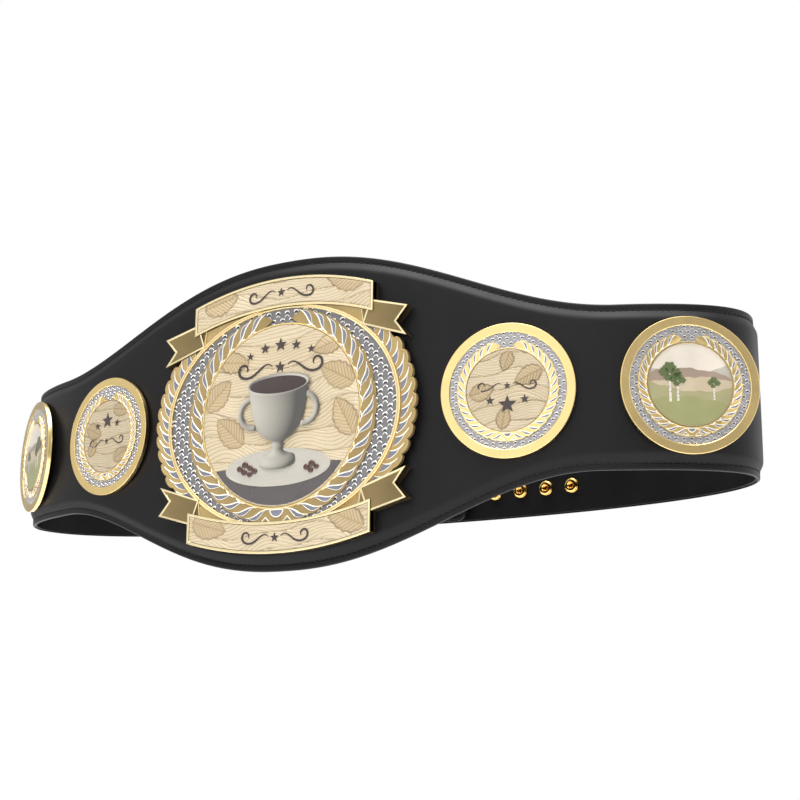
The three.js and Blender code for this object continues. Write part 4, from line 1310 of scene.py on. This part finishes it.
class TITLEBELT_OT_side_plates(bpy.types.Operator):
    """Turns the four side plates and fills them with scales, a wreath and a medallion"""

    bl_idname = "title_belt.side_plates"
    bl_label = "Side Plates"

    def execute(self, context):
        p, gap = plates(), belt().seat_gap
        for side in SIDES:
            place = side_frame(side)
            self.plate(side, place, p)
            floor = p.side_thickness - p.side_recess
            outer = p.side_radius - p.side_rim - p.side_band
            inner = outer - p.side_wreath
            self.wreath(side, place, floor + gap, inner, outer)
            self.medallion(side, place, floor + gap, inner - 0.35 * MM)
        return {"FINISHED"}

    def plate(self, side, place, p):
        radius, thick = p.side_radius, p.side_thickness
        recess, floor = radius - p.side_rim, thick - p.side_recess
        edge = 0.5 * MM
        ob = turned(side, [
            (radius - edge, 0), (radius, edge * 0.6), (radius, thick - edge),
            (radius - 0.3 * edge, thick - 0.3 * edge), (radius - edge, thick), (radius - 1.5 * edge, thick),
            (recess + 0.6 * MM, thick), (recess + 0.3 * MM, thick), (recess, thick - 0.2 * MM), (recess, floor),
        ], 128)
        paint(ob, 1, lambda c, n: n.z > 0.9 and c.z < floor + NEAR)
        scale = scale_pattern(SIDE_SCALE, 2, 3)
        medallion = recess - p.side_band - p.side_wreath

        under_wreath, gap_half_width = 4 * MM, 10 * MM

        def inside(x, y):
            gap = abs(x) < gap_half_width and y > 0
            low = medallion if gap else recess - p.side_band - under_wreath
            return low < math.hypot(x, y) < recess

        scales = copies("scales", scale, scale_places(inside, radius, radius, floor, SIDE_SCALE))
        drop_object(scale)
        ob = join(side, [ob, scales])
        dress(ob, *metals("polished_gold", "side_field_ground", "scale_nickel", "scale_pocket"))
        finish_piece(ob, side + "_rim_and_scales", place, "polished_gold", side + "_plate")

    def wreath(self, side, place, base, inner, outer):
        wreath = build_wreath(side, {
            "inner": inner, "outer_x": outer, "outer_y": outer, "opening": math.radians(15), "leaves": 16,
            "notch": 0.7 * MM, "drop": 0.0, "base": base, "top": base + 0.55 * MM, "border": 0.3 * MM,
            "leaf_length": 10.2, "leaf_width": 1.5, "leaf_rise": 0.36 * MM, "leaf_line": 0.5 * MM,
            "ring": 0.6 * MM, "lean": 20, "first": 0.35,
        }, *metals("polished_gold"))
        finish_piece(wreath, side + "_laurel", place, "wreath_metal", side + "_wreath")

    def medallion(self, side, place, seat, radius):
        if side in INNER_LEAVES:
            spec = {**SMALL_RELIEF, "start": 1.3 if side == "left_inner" else 4.0, "leaves": INNER_LEAVES[side]}
            ob = relief_sheet(side, 96, 96, disc_place(radius, 0.0), seat, seat + 0.45 * MM, spec)
            high = 4 * MM if side == "left_inner" else -3 * MM
            top = seat + 0.86 * MM
            dark = flourish(0.72, 0, -high, seat, top)
            star_y = 2.2 * high
            dark.append(dark_star(6.4 * MM, 0, star_y + math.copysign(3 * MM, high), seat, seat + 0.9 * MM))
            for x in (-11.5, 11.5):
                dark.append(dark_star(3.2 * MM, x * MM, star_y, seat, top))
            ob = join(side, [ob, *dark])
            # The side medallions' relief is a darker copy of the centre's: painted shade
            dress(ob, relief_gold("side_relief_gold", 0.86), umber_enamel())
            finish_piece(ob, side + "_star_medallion", place, "relief_gold", side + "_medallion")
            return
        ob = self.landscape(side, seat, radius)
        finish_piece(ob, side + "_landscape_medallion", place, "printed_enamel", side + "_medallion")

    def landscape(self, side, seat, radius):
        """Flat layers of enamel, each a little higher than the one behind it"""
        turn_over = -1 if side == "left_outer" else 1
        tints = list(LANDSCAPE_TINTS)
        layers = [plaque("sky", ellipse(radius, radius, 96), seat, seat + 0.3 * MM)]
        for i, row in enumerate(LANDSCAPE):
            left, middle, right = (r * radius for r in row["ridge"][::turn_over])
            ridge = []
            steps = 36
            for j in range(steps + 1):
                x = radius * (2 * j / steps - 1) * 0.995
                t = x / radius
                y = middle + (right - left) / 2 * t + ((right + left) / 2 - middle) * t * t
                y += 0.018 * radius * math.sin(9 * t + 2 * i) + 0.01 * radius * math.sin(23 * t + i)
                limit = math.sqrt(max(radius**2 - x**2, 0)) * 0.985
                ridge.append((x, max(min(y, limit), -limit)))
            under = [(x, -0.985 * math.sqrt(max(radius**2 - x**2, 0))) for x, _ in reversed(ridge)]
            shape = ridge + [(x, y - NEAR) for x, y in under[1:-1]]
            top = seat + (0.36 + 0.07 * i) * MM
            layers.append(plaque("hill", shape[::-1], seat + 0.05 * MM, top, tints.index(row["tint"])))
        for x, foot, tall in ((-0.48, -0.42, 0.86), (-0.30, -0.40, 0.62), (0.55, -0.36, 0.5)):
            layers += self.birch(turn_over * x * radius, foot * radius, tall * radius, seat + 0.72 * MM, tints)
        within, over = radius - 0.5 * MM, seat + 1.0 * MM
        ring = turned("enamel_ring", [
            (radius, seat + 0.1 * MM), (radius, over), (within, over), (within, seat + 0.32 * MM),
        ], 96)
        paint(ring, len(tints), lambda c, n: n.z < 0.9 or c.z > seat + 0.5 * MM)
        layers.append(ring)
        ob = join(side, layers)
        finishes = [enamel("enamel_" + tint, col, 0.35, 0.16) for tint, col in LANDSCAPE_TINTS.items()]
        return dress(ob, *finishes, *metals("bright_edge_gold"))

    def birch(self, x, foot, tall, level, tints):
        """A birch: a pale tapered trunk with dark marks, under rounded clumps of leaves"""
        half = 0.022 * tall + 0.3 * MM
        head = 0.5 * half
        outline = [(x - half, foot), (x + half, foot), (x + head, foot + tall), (x - head, foot + tall)]
        parts = [plaque("trunk", outline, level - 0.3 * MM, level, tints.index("bark"))]
        for i in range(5):
            y = foot + tall * (0.12 + 0.15 * i)
            side = half * (0.3 if i % 2 else -0.3)
            spot = moved(ellipse(half * 0.5, 0.25 * MM, 8), x + side, y)
            parts.append(plaque("mark", spot, level, level + 0.05 * MM, tints.index("mark")))
        for dx, dy, size in ((0, 0.96, 0.2), (-0.15, 0.82, 0.17), (0.16, 0.8, 0.18), (-0.05, 0.66, 0.13)):
            crown = moved(lobed(size * tall), x + dx * tall, foot + dy * tall)
            clump = plaque("clump", crown, level - 0.2 * MM, level + 0.12 * MM, tints.index("leaf"))
            parts.append(soften(clump, 0.1 * MM, 1))
        return parts


def lobed(radius):
    """A rounded clump with six lobes"""
    points = []
    for i in range(24):
        turn = 2 * math.pi * i / 24
        far = radius * (0.86 + 0.14 * math.cos(6 * turn))
        points.append((far * math.cos(turn), 0.8 * far * math.sin(turn)))
    return points


CENTER_RELIEF = {
    "sway": 4.4 * MM, "wave": 22 * MM, "band": 17 * MM, "rise": 0.45 * MM, "line": 2.4 * MM, "calm": 22,
    "start": 2.2,
    "leaves": [(-30, -22, 138, 30, 18), (-62, 6, 44, 28, 17), (-52, 40, -8, 26, 15),
               (60, -22, 118, 30, 18), (60, 14, 152, 30, 18), (50, 46, 196, 24, 14)],
}


# Centre plate

LAUREL_LEAVES = 9
RING_SIDES = 160


def laurel_turns():
    """The turn up to which a laurel branch reaches, and the turn from leaf to leaf"""
    p = plates()
    reach = math.asin(p.laurel_reach / p.half_height)
    return reach, 2 * reach / LAUREL_LEAVES


def center_outline():
    """The plate's outline: leaf tips up both sides, smooth arcs under the banners"""
    p = plates()
    reach, step = laurel_turns()
    curve = ((0.0, 1.0), (0.1, 0.62), (0.28, 0.2), (0.5, 0.0), (0.72, 0.02), (0.88, 0.2), (0.96, 0.55))
    cuts = [(along, p.laurel_notch * depth * 0.8) for along, depth in curve]
    side = scallops(p.half_width, p.half_height, cuts, -reach, step, LAUREL_LEAVES, p.drop)
    wide, tall = p.half_width - p.laurel_notch, p.half_height - p.laurel_notch
    steps = 28
    turns = [reach + (math.pi - 2 * reach) * i / steps for i in range(steps + 1)]
    over = [ellipse_point(wide, tall, turn, p.drop) for turn in turns]
    under = [(x, -2 * p.drop - y) for x, y in reversed(over)][:-1]
    return side + over + mirrored(side)[:-1] + under


class TITLEBELT_OT_center_plate(bpy.types.Operator):
    """Casts the centre plate: base with laurel leaves, scale field, polished ring and wreath"""

    bl_idname = "title_belt.center_plate"
    bl_label = "Centre Plate"

    def execute(self, context):
        p, s = plates(), belt()
        place = plate_frame("center_plate", 0.0)
        ring_x, ring_y = p.half_width - p.laurel_width, p.half_height - p.laurel_height
        base = plaque("center", center_outline(), 0, p.thickness)
        sink_top(base, 1.1 * MM, 0.3 * MM, 0)
        soften(base, 0.28 * MM, 2)
        ground = p.thickness - 0.3 * MM
        leaf_foot = 0.3 * MM
        leaf = leaf_pattern(bent((0, 0), (1.2, -6.2), (8.5, -8.3)), bent((-6.3, 0), (-3.0, -5.6), (4.1, -6.3)),
                            (0.0, 0.65), 0.5 * MM, 0.86 * MM)
        reach, step = laurel_turns()
        turns = [(i - 0.1) * step - reach for i in range(-2, LAUREL_LEAVES + 3)]
        places = [polar(ring_x + leaf_foot, ring_y + leaf_foot, turn, 0, ground, p.drop, mirror)
                  for turn in turns for mirror in (False, True)]
        under_banner = 62 * MM
        inside = [m for m in places if abs(m.translation.y + p.drop) < under_banner]
        parts = [base, copies("leaves", leaf, inside)]
        drop_object(leaf)
        outline = ellipse(ring_x - 0.4 * MM, ring_y - 0.4 * MM, RING_SIDES, p.drop)
        level = ground + 0.05 * MM
        parts.append(plaque("field", outline, ground - 0.2 * MM, level, 3))
        scale = scale_pattern(CENTER_SCALE, 4, 5)

        margin, under_wreath, gap_half_width = 1.6 * MM, 6 * MM, 24 * MM

        def inside_field(x, y):
            v = y + p.drop
            far = math.hypot(x, v)
            in_ring = (x / (ring_x - margin)) ** 2 + (v / (ring_y - margin)) ** 2 < 1
            gap = abs(x) < gap_half_width and v > 0 and far > p.medallion_radius - 1 * MM
            return in_ring and (far > p.wreath_half_width - under_wreath or gap)

        places = scale_places(inside_field, ring_x, ring_y, level, CENTER_SCALE)
        parts.append(copies("scales", scale, places))
        drop_object(scale)
        ob = join("center", parts)
        dress(ob, *metals("laurel_gold", "white_edge_gold", "leaf_steel_blue", "field_ground", "scale_nickel",
                          "scale_pocket"))
        finish_piece(ob, "center_base_and_laurel", place, "matt_gold", "center_plate")
        self.ring(place, p, ring_x, ring_y)
        self.wreath(place, p, s, ring_y)
        return {"FINISHED"}

    def ring(self, place, p, ring_x, ring_y):
        """The polished ring: two rounded edges with a groove between them"""
        top = p.thickness + p.ring_rise
        third = p.ring_width / 3
        parts = [raised_ring("ring", ring_x, ring_y, p.ring_width, p.thickness - 0.2 * MM, top - 0.45 * MM,
                             p.drop, 0, RING_SIDES)]
        for inset in (0, 1.9 * third):
            edge = raised_ring("edge", ring_x - inset, ring_y - inset, 1.1 * third, top - 0.5 * MM, top,
                               p.drop, 1, RING_SIDES)
            parts.append(soften(edge, 0.26 * MM, 2))
        ob = join("ring", parts)
        dress(ob, *metals("polished_gold", "bright_edge_gold"))
        finish_piece(ob, "center_polished_ring", place, "polished_gold", "center_ring")

    def wreath(self, place, p, s, ring_y):
        base = p.thickness - 0.15 * MM
        wreath = build_wreath("wreath", {
            "inner": p.medallion_radius + s.seat_gap, "outer_x": p.wreath_half_width,
            "outer_y": ring_y - p.ring_width - s.seat_gap, "opening": math.radians(12), "leaves": 18,
            "notch": 1.3 * MM, "drop": p.drop, "base": base, "top": base + 0.9 * MM, "border": 0.6 * MM,
            "leaf_length": 20.5, "leaf_width": 3.3, "leaf_rise": 0.5 * MM, "leaf_line": 0.84 * MM,
            "ring": 1.2 * MM, "lean": 20, "first": 0.55,
        }, *metals("matt_gold"))
        finish_piece(wreath, "center_laurel_wreath", place, "wreath_metal", "center_wreath")


# Dark ornament in place of words


def scroll_stroke(size, x, y, side, base, top, bow=None):
    """A thin curling stroke, from the middle outwards; a bow bends it along a banner"""
    line = []
    corners = ((2, 1), (8, 6), (12, -6), (20, -4))
    run_steps, curl_steps = 12, 19
    for i in range(run_steps + 1):
        t = i / run_steps
        u = 1 - t
        weights = (u**3, 3 * u * u * t, 3 * u * t * t, t**3)
        line.append(tuple(sum(w * corner[k] for w, corner in zip(weights, corners)) for k in (0, 1)))
    for i in range(1, curl_steps + 1):
        turn = -math.pi / 2 + i / curl_steps * math.radians(300)
        far = 4.5 - 2.9 * i / curl_steps
        line.append((20 + far * math.cos(turn), 0.5 + far * math.sin(turn)))
    count = len(line)
    middle = [(side * size * MM * px + x, size * MM * py + y) for px, py in line]
    if bow:
        middle = [(px, py - bow(px)) for px, py in middle]
    halves = [0.75 * size * MM * math.sin(math.pi * (0.06 + 0.9 * i / count)) ** 0.7 for i in range(count)]
    return stroke("scroll", middle, halves, base, top, 1)


def star_outline(radius):
    points = []
    for i in range(10):
        far = radius if i % 2 == 0 else 0.42 * radius
        turn = math.pi / 2 + i * math.pi / 5
        points.append((far * math.cos(turn), far * math.sin(turn)))
    return points


def dark_star(radius, x, y, base, top):
    return plaque("star", moved(star_outline(radius), x, y), base, top, 1)


def flourish(size, x, y, base, top, bow=None):
    """A star between two mirrored scrolls"""
    lift = bow(x) if bow else 0
    parts = [dark_star(3.4 * size * MM, x, y - lift, base, top)]
    for side in (-1, 1):
        parts.append(scroll_stroke(size, x + side * 3 * size * MM, y, side, base, top, bow))
    return parts


class TITLEBELT_OT_center_medallion(bpy.types.Operator):
    """Presses the medallion's relief and sets a trophy cup and stars on it"""

    bl_idname = "title_belt.center_medallion"
    bl_label = "Centre Medallion"

    def execute(self, context):
        p = plates()
        place = plate_frame("center_plate", 0.0)
        seat = p.thickness + 0.15 * MM
        level = seat + 0.6 * MM
        disc = disc_place(p.medallion_radius, p.drop)
        sheet = relief_sheet("medallion", 190, 190, disc, seat, level, CENTER_RELIEF)
        dress(sheet, relief_gold())
        finish_piece(sheet, "center_relief_medallion", place, "relief_gold", "center_medallion")
        emblem = self.trophy(p, level)
        finish_piece(emblem, "center_trophy_emblem", place, "cream_enamel", "center_emblem")
        return {"FINISHED"}

    def trophy(self, p, level):
        """A turned two-handled cup, tipped to show its mouth and flattened into low relief"""
        radius, tall = 24 * MM, 58 * MM
        # The cup's profile: shares of its radius and height
        foot = [(0.6, 0), (0.62, 0.03), (0.6, 0.07), (0.42, 0.1), (0.22, 0.14), (0.16, 0.2), (0.24, 0.23)]
        bowl = [(0.16, 0.26), (0.24, 0.3), (0.42, 0.335), (0.58, 0.385), (0.72, 0.46), (0.84, 0.56),
                (0.91, 0.67), (0.96, 0.79), (1.0, 0.91), (1.06, 0.98), (1.075, 1.0)]
        inside = [(1.06, 1.012), (1.0, 1.005), (0.97, 0.985), (0.93, 0.9), (0.85, 0.76), (0.66, 0.66),
                  (0.2, 0.62)]
        cup = turned("cup", [(r * radius, h * tall) for r, h in (*foot, *bowl, *inside)], 96)
        for face in cup.data.polygons:
            facing_in = face.normal.x * face.center.x + face.normal.y * face.center.y < 0 or face.normal.z > 0.8
            deep = face.center.z > 0.6 * tall and math.hypot(face.center.x, face.center.y) < 0.96 * radius
            face.material_index = 1 if facing_in and deep else 0
        ob = join("trophy", [cup, *(self.handle(side, radius, tall) for side in (-1, 1))])
        tip = math.radians(17)
        ob.data.transform(Matrix.Rotation(tip - math.pi / 2, 4, "X"))
        shade_from_left(ob)
        ob.data.transform(Matrix.Diagonal((1, 1, 0.05, 1)))
        only(ob)
        bpy.ops.object.mode_set(mode="EDIT")
        bpy.ops.mesh.select_all(action="SELECT")
        bpy.ops.mesh.normals_make_consistent(inside=False)
        behind = -0.45 * MM
        bpy.ops.mesh.bisect(plane_co=(0, 0, behind), plane_no=(0, 0, 1), use_fill=True, clear_inner=True)
        bpy.ops.object.mode_set(mode="OBJECT")
        below = -37 * MM
        ob.data.transform(Matrix.Translation((0, below, level + 0.75 * MM - behind)))
        extras = [*self.ground(p, level), *self.berries(below, level), *self.sky(level)]
        ob = join("trophy", [ob, *extras])
        return dress(ob, shaded_enamel(colours().cream), umber_enamel(),
                     enamel("slate_enamel", colours().slate, 0.3, 0.12),
                     enamel("berry_enamel", colours().berry, 0.18, 0.3))

    def handle(self, side, radius, tall):
        """A handle: a small circle spun round the handle's eye"""
        eye = (side * 0.86 * radius, 0, 0.66 * tall)
        reach = 11 * MM
        start = math.radians(100)
        middle = Vector((eye[0] + side * reach * math.cos(start), 0, eye[2] + reach * math.sin(start)))
        upright = (math.pi / 2, 0, 0)
        deselect()
        bpy.ops.mesh.primitive_circle_add(
            vertices=16, radius=2 * MM, fill_type="NGON", location=middle, rotation=upright
        )
        ob = bpy.context.object
        bpy.ops.object.transform_apply(location=True, rotation=True)
        turn = Matrix.Rotation(side * -start, 4, "Y") @ Matrix.Rotation(math.pi / 2, 4, "X")
        ob.data.transform(Matrix.Translation(middle) @ turn @ Matrix.Translation(-middle))
        bpy.ops.object.mode_set(mode="EDIT")
        bpy.ops.mesh.select_all(action="SELECT")
        bpy.ops.mesh.spin(steps=22, angle=-side * math.radians(200), center=eye, axis=(0, 1, 0))
        close_edit()
        return ob

    def ground(self, p, level):
        """A slate-grey floor across the foot of the medallion, and a pale round dish on it"""
        radius = p.medallion_radius - 1.2 * MM
        start, stop = math.radians(215), math.radians(325)
        steps = 30
        turns = [start + (stop - start) * i / steps for i in range(steps + 1)]
        points = [ellipse_point(radius, radius, turn, p.drop) for turn in turns]
        left, right = points[0], points[-1]
        for i in range(1, steps):
            t = i / steps
            points.append((right[0] + (left[0] - right[0]) * t, left[1] + 2.5 * MM * math.sin(math.pi * t)))
        parts = [plaque("floor", points, level - 0.3 * MM, level + 0.62 * MM, 2)]
        for half_width, half_height, base, top, rim in ((43, 13, 0.5, 0.95, 1.1), (27, 7.6, 0.6, 0.86, 0.7)):
            outline = moved(ellipse(half_width * MM, half_height * MM, 72), 0, -40 * MM)
            dish = plaque("dish", outline, level + base * MM, level + top * MM)
            sink_top(dish, rim * MM, 0.14 * MM, 0)
            parts.append(soften(dish, 0.06 * MM, 1))
        return parts

    def berries(self, foot, level):
        """Dark glossy berries on the dish"""
        deselect()
        bpy.ops.mesh.primitive_uv_sphere_add(segments=14, ring_count=8, radius=1)
        berry = bpy.context.object
        paint(berry, 3)
        places = []
        for x, y, size in ((-31, -2, 2.5), (-26.6, 0.6, 2.7), (-22.4, -1.8, 2.4), (-27.2, -4.6, 2.6),
                           (-22.6, -6.4, 2.3), (-18.6, -4.2, 2.5), (24, -4.6, 2.5), (28.2, -2.4, 2.6),
                           (32, -4.8, 2.2), (27.4, -6.8, 2.4)):
            place = Matrix.Translation((x * MM, foot + y * MM, level + 1.05 * MM))
            places.append(place @ Matrix.Diagonal((size * MM, 0.86 * size * MM, 0.9 * MM, 1)))
        ob = copies("berries", berry, places)
        drop_object(berry)
        return [ob]

    def sky(self, level):
        """Dark ornament over the cup: an arch of stars over a star between two scrolls"""
        base, top = level - 0.3 * MM, level + 0.72 * MM
        parts = []
        for i, size in enumerate((3.0, 3.8, 5.0, 3.8, 3.0)):
            turn = math.radians(90 + (2 - i) * 13)
            x, y = 58 * MM * math.cos(turn), (58 * math.sin(turn) - 11) * MM
            parts.append(dark_star(size * MM, x, y, base, top))
        return parts + flourish(1.3, 0, 31 * MM, base, top)


def shade_from_left(ob):
    """Stores how far each corner turns away from a light on the left, for painted shading"""
    light = Vector((-0.85, 0.25, 0.45)).normalized()
    away = [0.5 - 0.5 * vertex.normal.dot(light) for vertex in ob.data.vertices]
    ob.data.attributes.new("painted_shade", "FLOAT", "POINT").data.foreach_set("value", away)


# Banners

BANNERS = {
    "top_banner": {"up": 1, "crest": 95.6, "arch": 12.8, "height": 21.2, "start": 1.0,
                   "leaves": [(-66, 80, 14, 30, 17), (68, 84, 166, 32, 17)]},
    "bottom_banner": {"up": -1, "crest": 99.2, "arch": 10.6, "height": 21.8, "start": 3.1,
                      "leaves": [(-70, -74, -16, 30, 17), (70, -84, 158, 32, 17)]},
}
# Ribbon tail and fold, from the banner's inner corner: shares of the tail's length and width
TAIL = [(-0.1, 0.42), (1.02, 0.04), (0.68, -0.45), (1.0, -0.96), (-0.34, -0.41)]
TAIL_OUTSIDE = [(0.05, 0.37), (1.02, 0.04), (0.68, -0.45), (1.0, -0.96), (0.2, -0.63)]
FOLD = [(0.08, 0.1), (-0.3, -0.5), (-0.37, 0.05), (-0.37, 0.3)]


class TITLEBELT_OT_banners(bpy.types.Operator):
    """Makes the two ribbon banners with their folded tails and relief panels"""

    bl_idname = "title_belt.banners"
    bl_label = "Ribbon Banners"

    def execute(self, context):
        for node, row in BANNERS.items():
            self.banner(node, row)
        return {"FINISHED"}

    def bow(self, row, x):
        """How far a banner has bent down from its crest at a place"""
        return row["arch"] * MM * (x / plates().banner_half_width) ** 2

    def bar(self, row, start=-1.0, stop=1.0, steps=32):
        """The outline of a stretch of a banner"""
        up, crest, foot = row["up"], row["crest"] * MM, (row["crest"] - row["height"]) * MM
        places = [plates().banner_half_width * (start + (stop - start) * i / steps) for i in range(steps + 1)]
        lower = [(x, up * (foot - self.bow(row, x))) for x in places]
        return lower + [(x, up * (crest - self.bow(row, x))) for x in reversed(places)]

    def tail(self, row, outline, side):
        """A piece of the ribbon past a banner's end, from its outline in shares"""
        p = plates()
        corner = (row["crest"] - row["height"] - row["arch"]) * MM
        points = []
        for along, across in outline:
            x = side * (p.banner_half_width + along * p.tail_length)
            points.append((x, row["up"] * (corner + across * p.tail_width)))
        return points

    def banner(self, node, row):
        p = plates()
        place = plate_frame("center_plate", 0.0)
        top = p.thickness + p.banner_rise
        frame_bar = plaque(node, self.bar(row), 0.1 * MM, top)
        bordered(frame_bar, p.banner_rim, 0.9 * MM, 0.3 * MM)
        # The banner's side walls get the darker gold of slot 2: painted shade
        paint(frame_bar, 2, lambda c, n: n.z < 0.1)
        parts = [frame_bar]
        for side, start, stop in ((-1, -1.0, -0.75), (1, 0.75, 1.0)):
            # The ends and the deep pieces behind the tails are wholly in the darker gold: painted shade
            end = plaque("end", self.bar(row, start, stop, 4), -p.banner_end_drop, top - 1.5 * MM, 2)
            deep = plaque("deep", self.tail(row, TAIL_OUTSIDE, side), -p.tail_drop, top - 2 * MM, 2)
            tail = plaque("tail", self.tail(row, TAIL, side), 0.05 * MM, top - 0.8 * MM)
            bordered(tail, 1.3 * MM, 0.4 * MM, 0.3 * MM)
            # The tail's side walls: painted shade in the darker gold as well
            paint(tail, 2, lambda c, n: n.z < 0.1)
            fold = plaque("fold", self.tail(row, FOLD, side), 0.15 * MM, top - 1.4 * MM)
            bordered(fold, 0.7 * MM, 0.3 * MM, 0.2 * MM)
            parts += [end, deep, tail, fold]
        ob = join(node, parts)
        dress(ob, *metals("tail_gold", "bright_edge_gold", "side_gold"))
        finish_piece(ob, node + "_ribbon", place, "polished_gold", node)
        self.panel(node, row, place, top)

    def panel(self, node, row, place, top):
        p = plates()
        inset = p.banner_rim + 0.35 * MM
        half = p.banner_half_width - inset
        tall = row["height"] * MM - 2 * inset

        def spot(gx, gy):
            x = half * gx
            crest = row["up"] * (row["crest"] * MM - inset - self.bow(row, x))
            return x, crest - row["up"] * tall * (1 - gy * row["up"]) / 2

        spec = {"sway": 3.4 * MM, "wave": 19 * MM, "band": 12 * MM, "rise": 0.36 * MM, "line": 2.3 * MM,
                "calm": 9, "start": row["start"], "leaves": row["leaves"]}
        sheet = relief_sheet(node + "_panel", 150, 24, spot, top - 0.85 * MM, top - 0.45 * MM, spec)
        middle = row["up"] * (row["crest"] - row["height"] / 2) * MM
        dark = flourish(1.0, 0, middle, top - 0.7 * MM, top + 0.15 * MM, lambda x: row["up"] * self.bow(row, x))
        sheet = join(node + "_panel", [sheet, *dark])
        dress(sheet, relief_gold(), umber_enamel())
        finish_piece(sheet, node + "_relief", place, "relief_gold", node + "_panel")


# Stage

GREY_BELOW, GREY_ABOVE = 0.3, 0.55
FLOOR_GREY = (0.86, 0.86, 0.86)
WHITE = (1, 1, 1, 1)
# Soft boxes: name, azimuth and elevation in degrees, bright core and outer reach in degrees, strength
SOFTBOXES = [
    ("front", -4, 12, 20, 48, 0.75),
    ("left", -72, 14, 10, 34, 0.3),
    ("right", 122, 10, 18, 62, 0.9),
    ("top", 0, 78, 14, 34, 8.5),
]


def aim(azimuth, elevation):
    """The direction from the belt to a place seen at these angles from its front"""
    level = math.cos(elevation)
    return Vector((math.sin(azimuth) * level, -math.cos(azimuth) * level, math.sin(elevation)))


class TITLEBELT_OT_stage(bpy.types.Operator):
    """Sets the camera, the studio's light and a pale floor far below"""

    bl_idname = "title_belt.stage"
    bl_label = "Stage"

    def execute(self, context):
        sizes = context.scene.title_belt_stage
        self.camera(sizes)
        self.world(context.scene)
        deselect()
        bpy.ops.mesh.primitive_plane_add(size=8, location=(0, 0, sizes.floor_height))
        floor = bpy.context.object
        floor.name = "stage_floor"
        material, _, _ = base_material("stage_floor", FLOOR_GREY, 0.0, 0.8)
        floor.data.materials.append(material)
        context.scene.view_settings.view_transform = "Standard"
        return {"FINISHED"}

    def camera(self, sizes):
        back = aim(sizes.azimuth, sizes.elevation)
        target = Vector((sizes.target_x, 0, sizes.target_z))
        data = bpy.data.cameras.new("photo_camera")
        data.lens = sizes.lens
        data.sensor_width = 36
        data.clip_start, data.clip_end = 0.05, 50
        ob = bpy.data.objects.new("photo_camera", data)
        bpy.context.scene.collection.objects.link(ob)
        right = (-back).cross(Vector((0, 0, 1))).normalized()
        up = right.cross(-back)
        r = sizes.roll
        right, up = right * math.cos(r) + up * math.sin(r), up * math.cos(r) - right * math.sin(r)
        ob.matrix_world = axes_matrix(right, up, back, target + back * sizes.distance)
        bpy.context.scene.camera = ob

    def world(self, scene):
        """White where the camera looks past the belt; dim grey with soft boxes for light and gloss"""
        world = bpy.data.worlds.new("studio")
        scene.world = world
        world.use_nodes = True
        tree = world.node_tree
        place = tree.nodes.new("ShaderNodeTexCoord")
        axes = tree.nodes.new("ShaderNodeSeparateXYZ")
        tree.links.new(place.outputs["Generated"], axes.inputs[0])
        level = spread(tree, axes.outputs["Z"], -1.0, 1.0, GREY_BELOW, GREY_ABOVE)
        for _, azimuth, elevation, core, reach, strength in SOFTBOXES:
            facing = tree.nodes.new("ShaderNodeVectorMath")
            facing.operation = "DOT_PRODUCT"
            facing.inputs[1].default_value = aim(math.radians(azimuth), math.radians(elevation))
            tree.links.new(place.outputs["Generated"], facing.inputs[0])
            box = spread(tree, facing.outputs["Value"], math.cos(math.radians(reach)),
                         math.cos(math.radians(core)), 0.0, strength)
            level = calc(tree, "ADD", level, box)
        soft = tree.nodes["Background"]
        soft.inputs["Color"].default_value = WHITE
        tree.links.new(level, soft.inputs["Strength"])
        white = tree.nodes.new("ShaderNodeBackground")
        white.inputs["Color"].default_value = WHITE
        path = tree.nodes.new("ShaderNodeLightPath")
        mix = tree.nodes.new("ShaderNodeMixShader")
        tree.links.new(path.outputs["Is Camera Ray"], mix.inputs["Fac"])
        tree.links.new(soft.outputs[0], mix.inputs[1])
        tree.links.new(white.outputs[0], mix.inputs[2])
        tree.links.new(mix.outputs[0], tree.nodes["World Output"].inputs["Surface"])


class TITLEBELT_PT_panel(bpy.types.Panel):
    """The belt's steps and sizes in the sidebar"""

    bl_idname = "TITLEBELT_PT_panel"
    bl_label = "Title Belt"
    bl_space_type = "VIEW_3D"
    bl_region_type = "UI"
    bl_category = "Title Belt"

    def draw(self, context):
        for operator in OPERATORS:
            self.layout.operator(operator.bl_idname)
        for name in GROUPS:
            group = getattr(context.scene, name)
            box = self.layout.box()
            for prop in group.__annotations__:
                box.prop(group, prop)


OPERATORS = [
    TITLEBELT_OT_strap, TITLEBELT_OT_lining, TITLEBELT_OT_seam, TITLEBELT_OT_snaps, TITLEBELT_OT_screws,
    TITLEBELT_OT_side_plates, TITLEBELT_OT_center_plate, TITLEBELT_OT_center_medallion, TITLEBELT_OT_banners,
    TITLEBELT_OT_stage,
]
GROUPS = {
    "title_belt_strap": StrapSizes, "title_belt_closure": ClosureSizes, "title_belt_plates": PlateSizes,
    "title_belt_colours": BeltColours, "title_belt_stage": StageSizes,
}


def register():
    for cls in (*GROUPS.values(), *OPERATORS, TITLEBELT_PT_panel):
        bpy.utils.register_class(cls)
    for name, group in GROUPS.items():
        setattr(bpy.types.Scene, name, PointerProperty(type=group))


def unregister():
    for name in GROUPS:
        delattr(bpy.types.Scene, name)
    for cls in reversed((*GROUPS.values(), *OPERATORS, TITLEBELT_PT_panel)):
        bpy.utils.unregister_class(cls)


def main():
    register()
    for operator in OPERATORS:
        step = getattr(bpy.ops.title_belt, operator.bl_idname.split(".")[1])
        if step() != {"FINISHED"}:
            raise RuntimeError(f"{operator.bl_label} did not finish")


if __name__ == "__main__":
    main()
